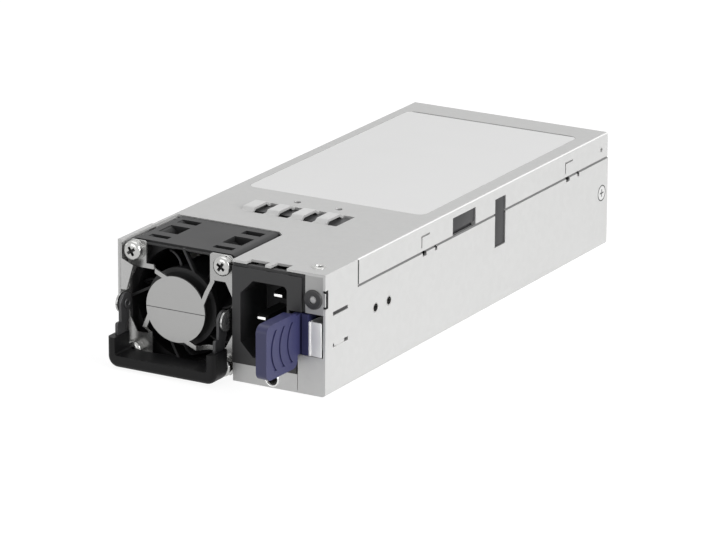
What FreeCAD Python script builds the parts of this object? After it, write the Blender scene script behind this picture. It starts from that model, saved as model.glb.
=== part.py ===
"""Hot-swap server power supply: sheet-metal case, fan, bail handle, latch, inlet and inner electronics.

Frame: X to the right, Y to the back, Z up, in millimetres. The origin is the middle of the case's
underside. The front face, with the fan and the mains inlet, looks along -Y.
"""
import FreeCAD, Part
import math
import os
import re
import Sketcher
from FreeCAD import Placement, Rotation, Vector

# ---------------------------------------------------------------- driving dimensions
SIZES = {
    # case
    "width": 73.5,
    "length": 185.0,
    "height": 38.5,
    "skin": 0.8,                 # sheet steel
    "lap_clear": 0.1,            # between the cover's flange and the wall that steps in behind it
    "flange_drop": 8.1,          # cover flange, measured down from the top
    "flange_front": 19.3,        # where the flange starts, from the front
    "cover_inset": 0.5,          # cover edge to the back of the case
    "joggle": 0.9,               # height over which the wall steps in
    "case_bend": 1.2,            # bend radius along the bottom edges
    # cut-out for the fan, in the cover and in the floor
    "fan_cut_left": 1.6,
    "fan_cut_side": 1.3,         # beyond the fan's right side
    "fan_cut_back": 0.2,         # behind the fan
    "fan_cut_chamfer": 2.6,
    # front sheets of the case
    "seam": 9.8,                # vertical seam, from the right side
    "seam_gap": 0.2,
    "left_sheet_top": 5.8,
    "right_sheet_top": 12.2,
    "peep_radius": 1.9,
    "peep_side": 54.85,
    # label recess
    "label_left": 4.0,
    "label_front": 69.5,
    "label_width": 64.0,
    "label_length": 104.5,
    "label_corner": 3.0,
    "label_depth": 0.25,
    "label_thick": 0.2,
    # raised bridges on the cover
    "bridge_first": 18.2,
    "bridge_pitch": 8.8,
    "bridge_count": 4,
    "bridge_front": 45.5,
    "bridge_run": 11.5,
    "bridge_band": 4.2,
    "bridge_slot": 4.0,
    "bridge_rise": 1.0,
    # openings in the right side
    "window_front": 78.7,
    "window_run": 14.8,
    "window_low": 30.0,
    "window_top": 36.0,
    "tall_front": 106.5,
    "tall_run": 7.0,
    "tall_low": 19.0,
    "tall_top": 35.0,
    "snap_front": 58.6,
    "snap_pitch": 95.6,
    "snap_run": 5.4,
    "snap_low": 31.4,
    "snap_top": 35.4,
    "snap_slot": 0.6,
    "lance_front": 4.5,
    "lance_run": 9.0,
    "lance_slot": 1.2,
    "lance_high": 24.6,
    "lance_low": 14.6,
    "lance_reach": 2.2,
    # back panel and its screws
    "panel_flange": 8.0,
    "side_screw_inset": 4.2,
    "side_screw_up": 18.5,
    "side_screw_head": 2.75,
    "side_screw_shank": 1.5,
    "side_screw_long": 5.0,
    "vent_radius": 2.1,
    "vent_pitch": 5.4,
    "vent_rows": 4,
    "vent_columns": 11,
    "vent_low": 13.0,
    # fan; its housing is as high as the case allows
    "fan_clear": 0.25,           # half of what the fan is lower than the case
    "fan_depth": 28.0,
    "fan_in": 0.05,              # from the fan to the left wall, where that steps in
    "fan_back": 3.6,             # front face of the fan from the front of the case
    "fan_corner": 2.5,
    "fan_bevel": 1.2,
    "fan_wall": 0.9,
    "mouth_wall": 1.1,
    "fan_flange": 4.6,
    "fan_rib": 3.3,
    "fan_pocket": 2.5,
    "fan_window": 7.5,
    "fan_far_pocket": 3.5,
    "pocket_wide": 7.0,
    "post_side": 4.0,
    "recess_depth": 3.4,
    "recess_corner": 2.0,
    "boss_radius": 2.9,
    "holder_gap": 5.8,           # from the motor holder to the bore
    "holder_rim": 1.4,
    "holder_thick": 1.6,
    "holder_dish": 0.6,
    "hub_gap": 6.3,              # from the impeller's cup to the bore
    "hub_wall": 1.1,
    "hub_back_gap": 2.0,
    "fan_blade": 1.1,
    "fan_blades": 7,
    "fan_blade_clear": 0.7,
    "blade_sweep": 0.3,
    "screw_inset": 3.0,
    "fan_screw_hole": 1.55,
    "strut_count": 4,
    "strut_width": 0.9,
    "strut_turn": 5.0,
    "shaft_radius": 1.5,
    "bearing_radius": 4.0,
    "bearing_width": 3.0,
    "snug": 0.03,
    "spin_clear": 0.05,
    # guard in front of the fan
    "guard_skin": 0.6,
    "guard_rise": 3.2,           # from the guard's plate to its disc
    "disc_gap": 8.5,             # from the disc to the fan's side
    "disc_groove": 0.2,
    "guard_tab": 6.6,
    "guard_reach": 8.55,         # from the arms' outer line to the fan's side
    "guard_tab_round": 0.9,
    "guard_clip": 1.4,
    "guard_slant": 3.1,
    "guard_waist": 5.7,
    "ear_root": 5.0,
    "arm_wide": 1.5,
    "arm_lead": 2.6,
    "arm_crank": 2.5,
    "arm_reach": 4.9,
    "arm_fall": 2.1,
    # fan screws and washers
    "screw_head": 2.7,
    "screw_head_thick": 1.9,
    "screw_shank": 1.5,
    "screw_long": 6.0,
    "screw_cross": 0.75,
    "washer_radius": 2.95,
    "washer_thick": 1.2,
    # bail handle
    "pivot_out": 1.2,            # pivot from the front of the case
    "pivot_up": 19.0,
    "ear_radius": 3.2,
    "bail_gap": 0.4 ,
    "bail_thick": 1.0,
    "neck_front": 3.1,
    "neck_back": 1.6,
    "shank_front": 5.2,
    "shank_back": -0.5,
    "shank_drop": 5.2,
    "shank_round": 0.7,
    "pin_radius": 1.0,
    "pin_head": 1.7,
    "pin_head_thick": 0.5,
    "grip_side": 0.35,           # grip beyond the fan on each side
    "grip_leg": 2.9,
    "grip_front": 9.1,
    "grip_back": 0.6 ,
    "grip_low": 0.35,
    "grip_bar": 3.9,
    "grip_top": 9.9 ,
    "grip_corner": 3.5,
    "grip_inner": 0.8,
    "grip_round": 1.6,
    "grip_fit": 0.05,
    # release latch
    "tab_length": 19.5,
    "tab_thick": 3.7,
    "tab_lean": 0.4,
    "tab_right": 8.5,
    "tab_low": 8.9,
    "tab_top": 26.1,
    "tab_corner": 2.6,
    "tab_gap": 1.8,
    "groove_count": 3,
    "groove_first": 2.8,         # crest of the first groove from the tab's tip
    "groove_pitch": 4.5,
    "groove_radius": 9.4,
    "groove_wide": 1.0,
    "groove_depth": 0.35,
    "groove_high": 6.4,
    "groove_deep": 4.3,          # reach of a groove's arc along the tab
    "root_left": 10.7,
    "root_right": 5.7,
    "root_depth": 4.0,
    "root_clear": 0.4,
    "root_groove": 0.6,
    "leaf_thick": 0.5,
    "leaf_pivot": 25.2,
    "leaf_low": 13.2,
    "leaf_top": 24.8,
    "leaf_end": 42.5,
    "leaf_gap": 0.3,
    "rivet_radius": 1.6,
    "rivet_bore": 1.25,
    "rivet_first": 30.3,
    "rivet_pitch": 8.2,
    "rivet_up": 20.2,
    "rivet_flange": 0.3,
    # mains inlet
    "inlet_left": 41.0,
    "inlet_right": 7.3,
    "inlet_low": 5.9,
    "inlet_top": 37.4,
    "inlet_proud": 0.4,
    "inlet_panel": 2.4,
    "inlet_bevel": 0.8,
    "inlet_body_left": 42.2,
    "inlet_body_right": 61.6,
    "inlet_body_low": 7.2,
    "inlet_body_top": 34.4,
    "inlet_body_depth": 20.0,
    "socket_left": 44.0,
    "socket_wide": 16.2,
    "socket_high": 24.2,
    "socket_up": 20.7,
    "socket_chamfer": 4.4,
    "socket_corner": 1.5,
    "socket_depth": 15.5,
    "notch_left": 12.4,
    "notch_depth": 6.5,
    "blade_wide": 4.0,
    "blade_thick": 2.0,
    "blade_pitch": 14.0,
    "blade_side": 54.0,
    "earth_side": 50.0,
    "blade_tip": 5.0,
    "earth_tip": 2.0,
    "blade_taper": 0.6,
    "tail_wide": 2.6,
    "tail_thick": 0.8,
    "tail_long": 5.0,
    # status light
    "light_left": 7.0,
    "light_low": 25.7,
    "light_side": 4.2,
    "light_up": 30.3,
    "bezel_radius": 3.1,
    "bezel_proud": 0.6,
    "bezel_barrel": 2.2,
    "bezel_long": 7.0,
    "lens_radius": 1.2,
    "ear_slot_low": 27.7,
    "ear_slot_high": 33.5,
    "ear_slot_depth": 1.7,
    "ear_margin": 0.8,
    # insulator
    "film": 0.4,
    "film_clear": 0.1,
    "film_front": 50.0,
    "film_back_gap": 2.0,
    # main board and its card edge
    "board_thick": 1.6,
    "board_up": 4.2,
    "board_margin": 3.0,
    "board_front": 48.0,
    "board_back_gap": 3.0,
    "card_width": 58.0,
    "card_out": 9.5,
    "card_slot_clear": 0.5,
    "card_bevel": 0.4,
    "contact_count": 22,
    "contact_pitch": 2.54,
    "contact_wide": 1.7,
    "contact_long": 8.0,
    "contact_thick": 0.1,
    "standoff_radius": 2.6,
    "standoff_bore": 1.3,
    "standoff_inset": 3.4,
    "board_screw_head": 2.6,
    "board_screw_thick": 1.5,
    "board_hole": 1.6,
    # inner parts on the board
    "can_radius": 15.0,
    "can_long": 46.0,
    "can_side": 22.5,
    "can_front": 96.0,
    "can_ring": 0.6,
    "can_saddle": 0.4,
    "pfc_radius": 9.5,
    "pfc_tube": 5.0,
    "pfc_side": 19.5,
    "pfc_front": 76.0,
    "emi_radius": 6.5,
    "emi_tube": 3.6,
    "emi_side": 49.2,
    "emi_front": 64.5,
    "core_wide": 28.0,
    "core_long": 24.0,
    "core_high": 28.0,
    "core_leg": 6.5,
    "core_side": 24.5,
    "core_front": 150.0,
    "coil_clear": 0.4,
    "choke_wide": 17.0,
    "choke_high": 16.0,
    "choke_side": 47.0,
    "choke_front": 128.4,
    "sink_thick": 3.0,
    "sink_high": 29.0,
    "sink_side": 50.0,
    "sink_front": 78.0,
    "sink_long": 48.0,
    "sink_fin": 8.0,
    "sink_fin_thick": 1.2,
    "sink_fin_count": 6,
    "rear_sink_front": 146.0,
    "rear_sink_long": 28.0,
    "package_wide": 15.6,
    "package_high": 20.6,
    "package_thick": 4.6,
    "package_pitch": 17.5,
    "package_lead": 0.9,
    "bridge_box_wide": 5.0,
    "relay_wide": 12.5,
    "relay_long": 18.5,
    "relay_high": 15.5,
    "film_cap_wide": 10.0,
    "film_cap_long": 20.0,
    "film_cap_high": 17.0,
    "disc_cap_radius": 4.2,
    "disc_cap_thick": 3.0,
}

doc = FreeCAD.newDocument("HotSwapSupply")
sheet = doc.addObject("Spreadsheet::Sheet", "Sizes")
for row, (alias, value) in enumerate(SIZES.items(), start=1):
    sheet.set(f"A{row}", alias)
    sheet.set(f"B{row}", str(value))
    sheet.setAlias(f"B{row}", alias)
doc.recompute()

LEFT = "-width/2"
FRONT = "-length/2"
nodes = []


# ---------------------------------------------------------------- modelling helpers
def bound(text):
    """Put the sheet's name before every size in an expression."""
    return re.sub(r"\b[a-z]\w*\b", lambda word: "Sizes." + word[0] if word[0] in SIZES else word[0], text)


def value(text):
    """The number an expression gives now."""
    return float(sheet.evalExpression(bound(text)))


def put(thing, at):
    """Bind an object's place to three expressions."""
    for axis, text in zip("xyz", at):
        thing.setExpression(f"Placement.Base.{axis}", bound(text))
    return thing


def keep(thing, label):
    """Name an object as one of the assembly's pieces."""
    thing.Label = label
    nodes.append(thing)
    return thing


def box(name, at, size):
    """A block from its low corner and its three edge lengths."""
    block = doc.addObject("Part::Box", name)
    for side, text in zip(("Length", "Width", "Height"), size):
        block.setExpression(side, bound(text))
    return put(block, at)


TURN = {"X": Rotation(Vector(0, 1, 0), 90), "Y": Rotation(Vector(1, 0, 0), -90), "Z": Rotation()}


def rod(name, along, at, radius, run):
    """A cylinder from the centre of its low end, along X, Y or Z."""
    bar = doc.addObject("Part::Cylinder", name)
    bar.setExpression("Radius", bound(radius))
    bar.setExpression("Height", bound(run))
    bar.Placement.Rotation = TURN[along]
    return put(bar, at)


def cone(name, along, at, start, end, run):
    """A cone from the centre of its low end, along X, Y or Z."""
    taper = doc.addObject("Part::Cone", name)
    taper.setExpression("Radius1", bound(start))
    taper.setExpression("Radius2", bound(end))
    taper.setExpression("Height", bound(run))
    taper.Placement.Rotation = TURN[along]
    return put(taper, at)


def fuse(name, *things):
    """One object that joins the others."""
    joined = doc.addObject("Part::MultiFuse", name)
    joined.Shapes = list(things)
    return joined


def cut(name, base, *tools):
    """The base with the tools taken away."""
    result = doc.addObject("Part::Cut", name)
    result.Base = base
    result.Tool = tools[0] if len(tools) == 1 else fuse(name + "_tools", *tools)
    return result


def group(name, *things):
    """Separate solids that share one node."""
    many = doc.addObject("Part::Compound", name)
    many.Links = list(things)
    return many


def new_body(name, at=("0", "0", "0")):
    """An empty PartDesign body at its place."""
    return put(doc.addObject("PartDesign::Body", name), at)


def draw(body, name, plane, start, loops, circles=()):
    """A fully constrained sketch on one of the body's own planes, moved along the plane's axis.

    A loop is a list of corners (x, y) or (x, y, radius); a rounded corner joins edges that are
    parallel to the sketch's axes. On XZ the sketch's normal is -Y, so its offset is reversed.
    """
    sketch = body.newObject("Sketcher::SketchObject", name)
    origin_plane = next(item for item in body.Origin.OriginFeatures if item.Role == plane + "_Plane")
    sketch.AttachmentSupport = [(origin_plane, "")]
    sketch.MapMode = "FlatFace"
    offset = f"-({start})" if plane == "XZ" else start
    sketch.setExpression("AttachmentOffset.Base.z", bound(offset))

    def fix(geometry, end, x, y):
        for kind, text in (("DistanceX", x), ("DistanceY", y)):
            index = sketch.addConstraint(Sketcher.Constraint(kind, -1, 1, geometry, end, value(text)))
            sketch.setExpression(f"Constraints[{index}]", bound(text))

    for loop in loops:
        stops = []
        for index, corner in enumerate(loop):
            if len(corner) == 2:
                stops.append((corner, corner, None))
                continue
            x, y, radius = corner
            ends = []
            for other in (loop[index - 1], loop[(index + 1) % len(loop)]):
                step_x = value(other[0]) - value(x)
                step_y = value(other[1]) - value(y)
                if abs(step_x) > abs(step_y):
                    ends.append((f"{x}{'+' if step_x > 0 else '-'}({radius})", y))
                else:
                    ends.append((x, f"{y}{'+' if step_y > 0 else '-'}({radius})"))
            stops.append((ends[0], ends[1], radius))
        for index, (entry, leave, radius) in enumerate(stops):
            if radius is not None:
                first = Vector(value(entry[0]), value(entry[1]))
                last = Vector(value(leave[0]), value(leave[1]))
                corner = Vector(value(loop[index][0]), value(loop[index][1]))
                centre = first + last - corner
                angles = [math.atan2(point.y - centre.y, point.x - centre.x) for point in (first, last)]
                clockwise = math.sin(angles[1] - angles[0]) < 0
                if clockwise:
                    angles.reverse()
                if angles[1] < angles[0]:
                    angles[1] += 2 * math.pi
                circle = Part.Circle(centre, Vector(0, 0, 1), value(radius))
                arc = sketch.addGeometry(Part.ArcOfCircle(circle, *angles))
                fix(arc, 2 if clockwise else 1, *entry)
                fix(arc, 1 if clockwise else 2, *leave)
            following = stops[(index + 1) % len(stops)][0]
            start_point = Vector(value(leave[0]), value(leave[1]))
            end_point = Vector(value(following[0]), value(following[1]))
            if start_point.distanceToPoint(end_point) > 1e-6:
                line = sketch.addGeometry(Part.LineSegment(start_point, end_point))
                fix(line, 1, *leave[:2])
                fix(line, 2, *following[:2])
    for x, y, radius in circles:
        centre = Vector(value(x), value(y))
        ring = sketch.addGeometry(Part.Circle(centre, Vector(0, 0, 1), value(radius)))
        fix(ring, 3, x, y)
        index = sketch.addConstraint(Sketcher.Constraint("Radius", ring, value(radius)))
        sketch.setExpression(f"Constraints[{index}]", bound(radius))
    sketch.Visibility = False
    return sketch


def pad(body, name, plane, start, run, loops=(), circles=()):
    """Add a prism from start to start + run along the plane's axis (Z, Y or X)."""
    sketch = draw(body, name + "_sketch", plane, start, loops, circles)
    feature = body.newObject("PartDesign::Pad", name)
    feature.Profile = sketch
    feature.setExpression("Length", bound(run))
    feature.Reversed = plane == "XZ"
    return feature


def pocket(body, name, plane, start, run, loops=(), circles=()):
    """Take away a prism from start to start + run along the plane's axis (Z, Y or X)."""
    sketch = draw(body, name + "_sketch", plane, start, loops, circles)
    feature = body.newObject("PartDesign::Pocket", name)
    feature.Profile = sketch
    feature.setExpression("Length", bound(run))
    feature.Reversed = plane != "XZ"
    return feature


def rectangle(x_low, x_high, y_low, y_high, radius=None):
    """A rectangular loop, with rounded corners where a radius is given."""
    corners = [(x_low, y_low), (x_high, y_low), (x_high, y_high), (x_low, y_high)]
    return [corner + (radius,) if radius else corner for corner in corners]


def revolve(body, name, plane, loops, axis_role):
    """Add a full turn of a sketch about one of the body's own axes."""
    sketch = draw(body, name + "_sketch", plane, "0", loops)
    feature = body.newObject("PartDesign::Revolution", name)
    feature.Profile = sketch
    axis = next(item for item in body.Origin.OriginFeatures if item.Role == axis_role)
    feature.ReferenceAxis = (axis, [""])
    feature.Angle = 360
    return feature


def turn_copies(body, name, originals, count):
    """Repeat features round the body's own Y axis."""
    pattern = body.newObject("PartDesign::PolarPattern", name)
    pattern.Originals = originals
    axis = next(item for item in body.Origin.OriginFeatures if item.Role == "Y_Axis")
    pattern.Axis = (axis, [""])
    pattern.Angle = 360
    pattern.setExpression("Occurrences", bound(count))
    body.Tip = pattern
    return pattern


def row_copies(body, name, originals, role, spacing, count):
    """Repeat features in a row along one of the body's own axes."""
    pattern = body.newObject("PartDesign::LinearPattern", name)
    pattern.Originals = originals
    axis = next(item for item in body.Origin.OriginFeatures if item.Role == role)
    pattern.Direction = (axis, [""])
    pattern.setExpression("Length", bound(f"({spacing})*(({count})-1)"))
    pattern.setExpression("Occurrences", bound(count))
    body.Tip = pattern
    return pattern


def from_left(text):
    """A distance from the case's left side, as a place along X."""
    return f"{LEFT}+{text}"


def from_front(text):
    """A distance from the case's front, as a place along Y."""
    return f"{FRONT}+{text}"


# ---------------------------------------------------------------- case
WALL_OUT = "width/2"
WALL_IN = "(width/2-skin)"
STEP_OUT = "(width/2-skin-lap_clear)"
STEP_IN = "(width/2-2*skin-lap_clear)"
STEP_TOP = "(height-flange_drop)"
WALL_TOP = "(height-skin)"
HALF = "(height/2-fan_clear)"
FAN_SIDE = f"(2*skin+lap_clear+fan_in+{HALF})"
FAN_CUT_RIGHT = f"(-width/2+{FAN_SIDE}+{HALF}+fan_cut_side)"


def chassis_base():
    """Tray of sheet steel: floor, two walls that step in behind the cover, and the front sheets."""
    body = new_body("tray_body")
    low = f"({STEP_TOP}-joggle)"
    floor_bend = "(case_bend-skin/2)"
    outline = [
        (f"-{WALL_OUT}", "0", "case_bend"), (WALL_OUT, "0", "case_bend"),
        (WALL_OUT, low), (STEP_OUT, STEP_TOP), (STEP_OUT, WALL_TOP),
        (STEP_IN, WALL_TOP), (STEP_IN, STEP_TOP), (WALL_IN, low),
        (WALL_IN, "skin", floor_bend), (f"-{WALL_IN}", "skin", floor_bend),
        (f"-{WALL_IN}", low), (f"-{STEP_IN}", STEP_TOP), (f"-{STEP_IN}", WALL_TOP),
        (f"-{STEP_OUT}", WALL_TOP), (f"-{STEP_OUT}", STEP_TOP), (f"-{WALL_OUT}", low),
    ]
    pad(body, "tray", "XZ", from_front("flange_front"), "length-flange_front", [outline])
    nose = [
        (f"-{WALL_OUT}", "0", "case_bend"), (WALL_OUT, "0", "case_bend"), (WALL_OUT, WALL_TOP),
        (WALL_IN, WALL_TOP), (WALL_IN, "skin", floor_bend), (f"-{WALL_IN}", "skin", floor_bend),
        (f"-{WALL_IN}", WALL_TOP), (f"-{WALL_OUT}", WALL_TOP),
    ]
    pad(body, "nose", "XZ", FRONT, "flange_front", [nose])
    left_sheet = rectangle(FAN_CUT_RIGHT, from_left("width-seam"), "skin/2", "left_sheet_top")
    right_sheet = [
        (from_left("width-seam+seam_gap"), "skin/2"), (f"{WALL_OUT}-skin/2", "skin/2"),
        (f"{WALL_OUT}-skin/2", "right_sheet_top"), (from_left("width-seam+seam_gap"), "right_sheet_top"),
    ]
    pad(body, "left_sheet", "XZ", FRONT, "skin", [left_sheet])
    pad(body, "right_sheet", "XZ", FRONT, "skin", [right_sheet])
    pocket(body, "peep_hole", "XZ", FRONT, "skin",
           [], [(from_left("peep_side"), "skin+peep_radius", "peep_radius")])
    # floor opening under the fan
    pocket(body, "fan_floor", "XY", "0", "skin", [fan_outline("0")])
    # right wall: window, tall window, notches at the snaps, ear slot, rivet holes, lances
    wall = f"{STEP_IN}-lap_clear"
    through = "3*skin+2*lap_clear"
    window = rectangle(from_front("window_front"), from_front("window_front+window_run"),
                       "window_low", "window_top")
    tall = rectangle(from_front("tall_front"), from_front("tall_front+tall_run"), "tall_low", "tall_top")
    ear = rectangle(FRONT, from_front("ear_slot_depth"), "ear_slot_low", "ear_slot_high")
    pocket(body, "side_openings", "YZ", wall, through, [window, tall, ear])
    low_notch = [
        (from_front("snap_front+1"), f"{low}-1"), (from_front("snap_front+3.4"), f"{low}-1"),
        (from_front("snap_front+3.4"), "snap_low"), (from_front("snap_front+1"), "snap_low"),
    ]
    far_notch = rectangle(from_front("snap_front+8.8"), from_front("snap_front+10.2"),
                          f"{low}-1", f"{STEP_TOP}")
    snaps = pocket(body, "snap_notches", "YZ", wall, through, [low_notch, far_notch])
    row_copies(body, "snap_row", [snaps], "Y_Axis", "snap_pitch", "2")
    rivets = [(from_front("rivet_first"), "rivet_up", "rivet_radius+snug"),
              (from_front("rivet_first+rivet_pitch"), "rivet_up", "rivet_radius+snug")]
    pocket(body, "rivet_holes", "YZ", WALL_IN, "skin", [], rivets)
    for name, z_slot in (("upper", "lance_high"), ("lower", "lance_low")):
        slot = rectangle(from_front("lance_front"), from_front("lance_front+lance_run"),
                         z_slot, f"{z_slot}+lance_slot")
        pocket(body, name + "_lance_slot", "YZ", WALL_IN, "skin", [slot])
    # countersunk holes for the back panel's screws, through both walls
    sinks = []
    for name, sign in (("left", "-"), ("right", "")):
        inner = f"{sign}{WALL_IN}"
        ends = ("side_screw_head+snug", "side_screw_head-skin+snug")
        start, end = ends if sign else ends[::-1]
        at = (f"-{WALL_OUT}" if sign else inner, "length/2-side_screw_inset", "side_screw_up")
        sinks.append(cone(name + "_side_sink", "X", at, start, end, "skin"))
    shell = cut("case_shell", body, *sinks)
    lances = [box(name + "_lance", (f"{WALL_IN}-skin/2", from_front("lance_front"), z_low),
                  ("skin/2", "lance_run", "lance_reach"))
              for name, z_low in (("upper", "lance_high-lance_reach"), ("lower", "lance_low-lance_reach"))]
    return keep(fuse("case_tray", shell, *lances), "chassis_base")


def fan_outline(clearance):
    """Outline of the opening round the fan, seen from above, with a clipped far corner."""
    left, right = from_left(f"fan_cut_left-({clearance})"), f"{FAN_CUT_RIGHT}+({clearance})"
    back = from_front(f"fan_back+fan_depth+fan_cut_back+({clearance})")
    return [(left, f"{FRONT}-skin"), (right, f"{FRONT}-skin"), (right, f"{back}-fan_cut_chamfer"),
            (f"{right}-fan_cut_chamfer", back), (left, back)]


def top_cover():
    """Lid with side flanges, the fan opening, raised bridges, label recess and side windows."""
    body = new_body("top_cover")
    channel = [
        (f"-{WALL_OUT}", STEP_TOP), (f"-{WALL_IN}", STEP_TOP), (f"-{WALL_IN}", WALL_TOP),
        (WALL_IN, WALL_TOP), (WALL_IN, STEP_TOP), (WALL_OUT, STEP_TOP),
        (WALL_OUT, "height", "skin"), (f"-{WALL_OUT}", "height", "skin"),
    ]
    pad(body, "channel", "XZ", from_front("flange_front"), "length-flange_front-cover_inset", [channel])
    apron = rectangle(f"-{WALL_OUT}", WALL_OUT, FRONT, from_front("flange_front"))
    pad(body, "apron", "XY", WALL_TOP, "skin", [apron])
    pocket(body, "fan_opening", "XY", WALL_TOP, "skin", [fan_outline("0")])
    notches = [rectangle(from_left("46"), from_left("52.5"), FRONT + "-skin", from_front("3")),
               rectangle(from_left("54.5"), from_left("60"), FRONT + "-skin", from_front("3.8"))]
    pocket(body, "front_notches", "XY", WALL_TOP, "skin", notches)
    # raised bridges with an open slot beside each
    slot = rectangle(from_left("bridge_first-bridge_band/2"), from_left("bridge_first+bridge_band/2+bridge_slot"),
                     from_front("bridge_front"), from_front("bridge_front+bridge_run"))
    opening = pocket(body, "bridge_slot", "XY", WALL_TOP, "skin", [slot])
    end = from_front("bridge_front+bridge_run")
    start = from_front("bridge_front")
    arch = [
        (start, WALL_TOP), (f"{start}+1.2*skin", WALL_TOP), (f"{start}+3*skin", f"{WALL_TOP}+bridge_rise"),
        (f"{end}-3*skin", f"{WALL_TOP}+bridge_rise"), (f"{end}-1.2*skin", WALL_TOP), (end, WALL_TOP),
        (end, "height"), (f"{end}-skin", "height"), (f"{end}-2.6*skin", "height+bridge_rise"),
        (f"{start}+2.6*skin", "height+bridge_rise"), (f"{start}+skin", "height"), (start, "height"),
    ]
    band = pad(body, "bridge_band", "YZ", from_left("bridge_first-bridge_band/2"), "bridge_band", [arch])
    row_copies(body, "bridges", [opening, band], "X_Axis", "bridge_pitch", "bridge_count")
    recess = rectangle(from_left("label_left"), from_left("label_left+label_width"),
                       from_front("label_front"), from_front("label_front+label_length"), "label_corner")
    pocket(body, "label_recess", "XY", "height-label_depth", "label_depth", [recess])
    window = rectangle(from_front("window_front"), from_front("window_front+window_run"),
                       f"{STEP_TOP}-skin", "window_top")
    tall = rectangle(from_front("tall_front"), from_front("tall_front+tall_run"), f"{STEP_TOP}-skin", "tall_top")
    pocket(body, "side_windows", "YZ", WALL_IN, "skin", [window, tall])
    near, far = from_front("snap_front"), from_front("snap_front+snap_run")
    hook = [
        (near, "snap_low"), (f"{near}+snap_slot", "snap_low"), (f"{near}+snap_slot", "snap_top-snap_slot"),
        (far, "snap_top-snap_slot"), (far, "snap_top"), (near, "snap_top"),
    ]
    hooks = pocket(body, "snap_slots", "YZ", WALL_IN, "skin", [hook])
    row_copies(body, "snap_row_cover", [hooks], "Y_Axis", "snap_pitch", "2")
    marks = [(from_left(x), from_front(y), radius)
             for x, y, radius in (("27", "62", "1.2"), ("42", "62", "1.2"), ("67.5", "7", "0.8"))]
    pocket(body, "top_holes", "XY", WALL_TOP, "skin", [], marks)
    pocket(body, "rear_hole", "YZ", WALL_IN, "skin", [], [(from_front("180"), "33.5", "0.75")])
    return keep(body, "top_cover")


def label_blank():
    """Plain label that lies in the cover's recess."""
    body = new_body("label_blank")
    outline = rectangle(from_left("label_left+lap_clear"), from_left("label_left+label_width-lap_clear"),
                        from_front("label_front+lap_clear"),
                        from_front("label_front+label_length-lap_clear"), "label_corner-lap_clear")
    pad(body, "sheet", "XY", "height-label_depth", "label_thick", [outline])
    return keep(body, "label_blank")


def rear_panel():
    """Back of the case: perforated sheet with two side flanges and the slot for the card edge."""
    body = new_body("panel_body")
    inner = f"{STEP_IN}-lap_clear"
    back = "length/2"
    channel = [
        (f"-({inner})", f"{back}-panel_flange"), (f"-({inner})", back), (inner, back),
        (inner, f"{back}-panel_flange"), (f"{inner}-skin", f"{back}-panel_flange"),
        (f"{inner}-skin", f"{back}-skin"), (f"-({inner}-skin)", f"{back}-skin"),
        (f"-({inner}-skin)", f"{back}-panel_flange"),
    ]
    pad(body, "channel", "XY", "skin", "height-2*skin", [channel])
    slot = rectangle("-(card_width/2+card_slot_clear)", "card_width/2+card_slot_clear",
                     "board_up-card_slot_clear-contact_thick",
                     "board_up+board_thick+card_slot_clear+contact_thick")
    pocket(body, "card_slot", "XZ", f"{back}-skin", "skin", [slot])
    holes = [("length/2-side_screw_inset", "side_screw_up", "side_screw_shank+snug")]
    pocket(body, "screw_holes", "YZ", f"-({inner})", f"2*({inner})", [], holes)
    vents = []
    for row in range(int(value("vent_rows"))):
        for column in range(int(value("vent_columns")) - row % 2):
            vent = doc.addObject("Part::Prism", f"vent_{row + 1}_{column + 1}")
            vent.Polygon = 6
            vent.setExpression("Circumradius", bound("vent_radius"))
            vent.setExpression("Height", bound("3*skin"))
            vent.Placement.Rotation = TURN["Y"]
            x = f"({column}-(vent_columns-1)/2+{0.5 * (row % 2)})*vent_pitch"
            vents.append(put(vent, (x, f"{back}-2*skin", f"vent_low+{row}*vent_pitch*sqrt(3)/2")))
    return keep(cut("rear_sheet", body, *vents), "rear_panel")


def rear_screws():
    """Two countersunk screws that hold the back panel through the case's side walls."""
    screws = []
    for name, sign, turn in (("left", "-", 90), ("right", "", -90)):
        body = new_body(name + "_side_screw", (f"{sign}{WALL_OUT}", "length/2-side_screw_inset", "side_screw_up"))
        body.Placement.Rotation = Rotation(Vector(0, 0, 1), turn)
        section = [
            ("0", "0"), ("side_screw_head", "0"), ("side_screw_head-skin", "-skin"),
            ("side_screw_shank", "-skin"), ("side_screw_shank", "-side_screw_long"), ("0", "-side_screw_long"),
        ]
        revolve(body, name + "_screw_form", "XY", [[(x, y) for x, y in section]], "Y_Axis")
        screws.append(body)
    return keep(group("side_screws", *screws), "rear_screws")


def insulator_sheet():
    """Folded insulating film between the case and the board."""
    body = new_body("insulator_sheet")
    out = f"({STEP_IN}-film_clear)"
    inner = f"({out}-film)"
    low = "skin+film_clear"
    trough = [
        (f"-{out}", low, "case_bend"), (out, low, "case_bend"), (out, "height-3*skin"),
        (inner, "height-3*skin"), (inner, f"{low}+film"), (f"-{inner}", f"{low}+film"),
        (f"-{inner}", "height-3*skin"), (f"-{out}", "height-3*skin"),
    ]
    run = "length-film_front-film_back_gap-panel_flange"
    pad(body, "trough", "XZ", from_front("film_front"), run, [trough])
    holes = [(x, y, "standoff_radius+lap_clear") for x, y in standoff_places()]
    pocket(body, "standoff_holes", "XY", "skin", "film+2*film_clear", [], holes)
    return keep(body, "insulator_sheet")


# ---------------------------------------------------------------- fan and its guard
FAN = (from_left(FAN_SIDE), from_front("fan_back"), "height/2")
BORE = f"({HALF}-fan_wall)"
HUB = f"({BORE}-hub_gap)"
HOLDER = f"({BORE}-holder_gap)"
CUP_BACK = "(fan_depth-hub_back_gap)"
SCREW = f"({HALF}-screw_inset)"
PIVOT_Y = "(-fan_back-pivot_out)"
PIVOT_Z = "(pivot_up-height/2)"


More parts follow.
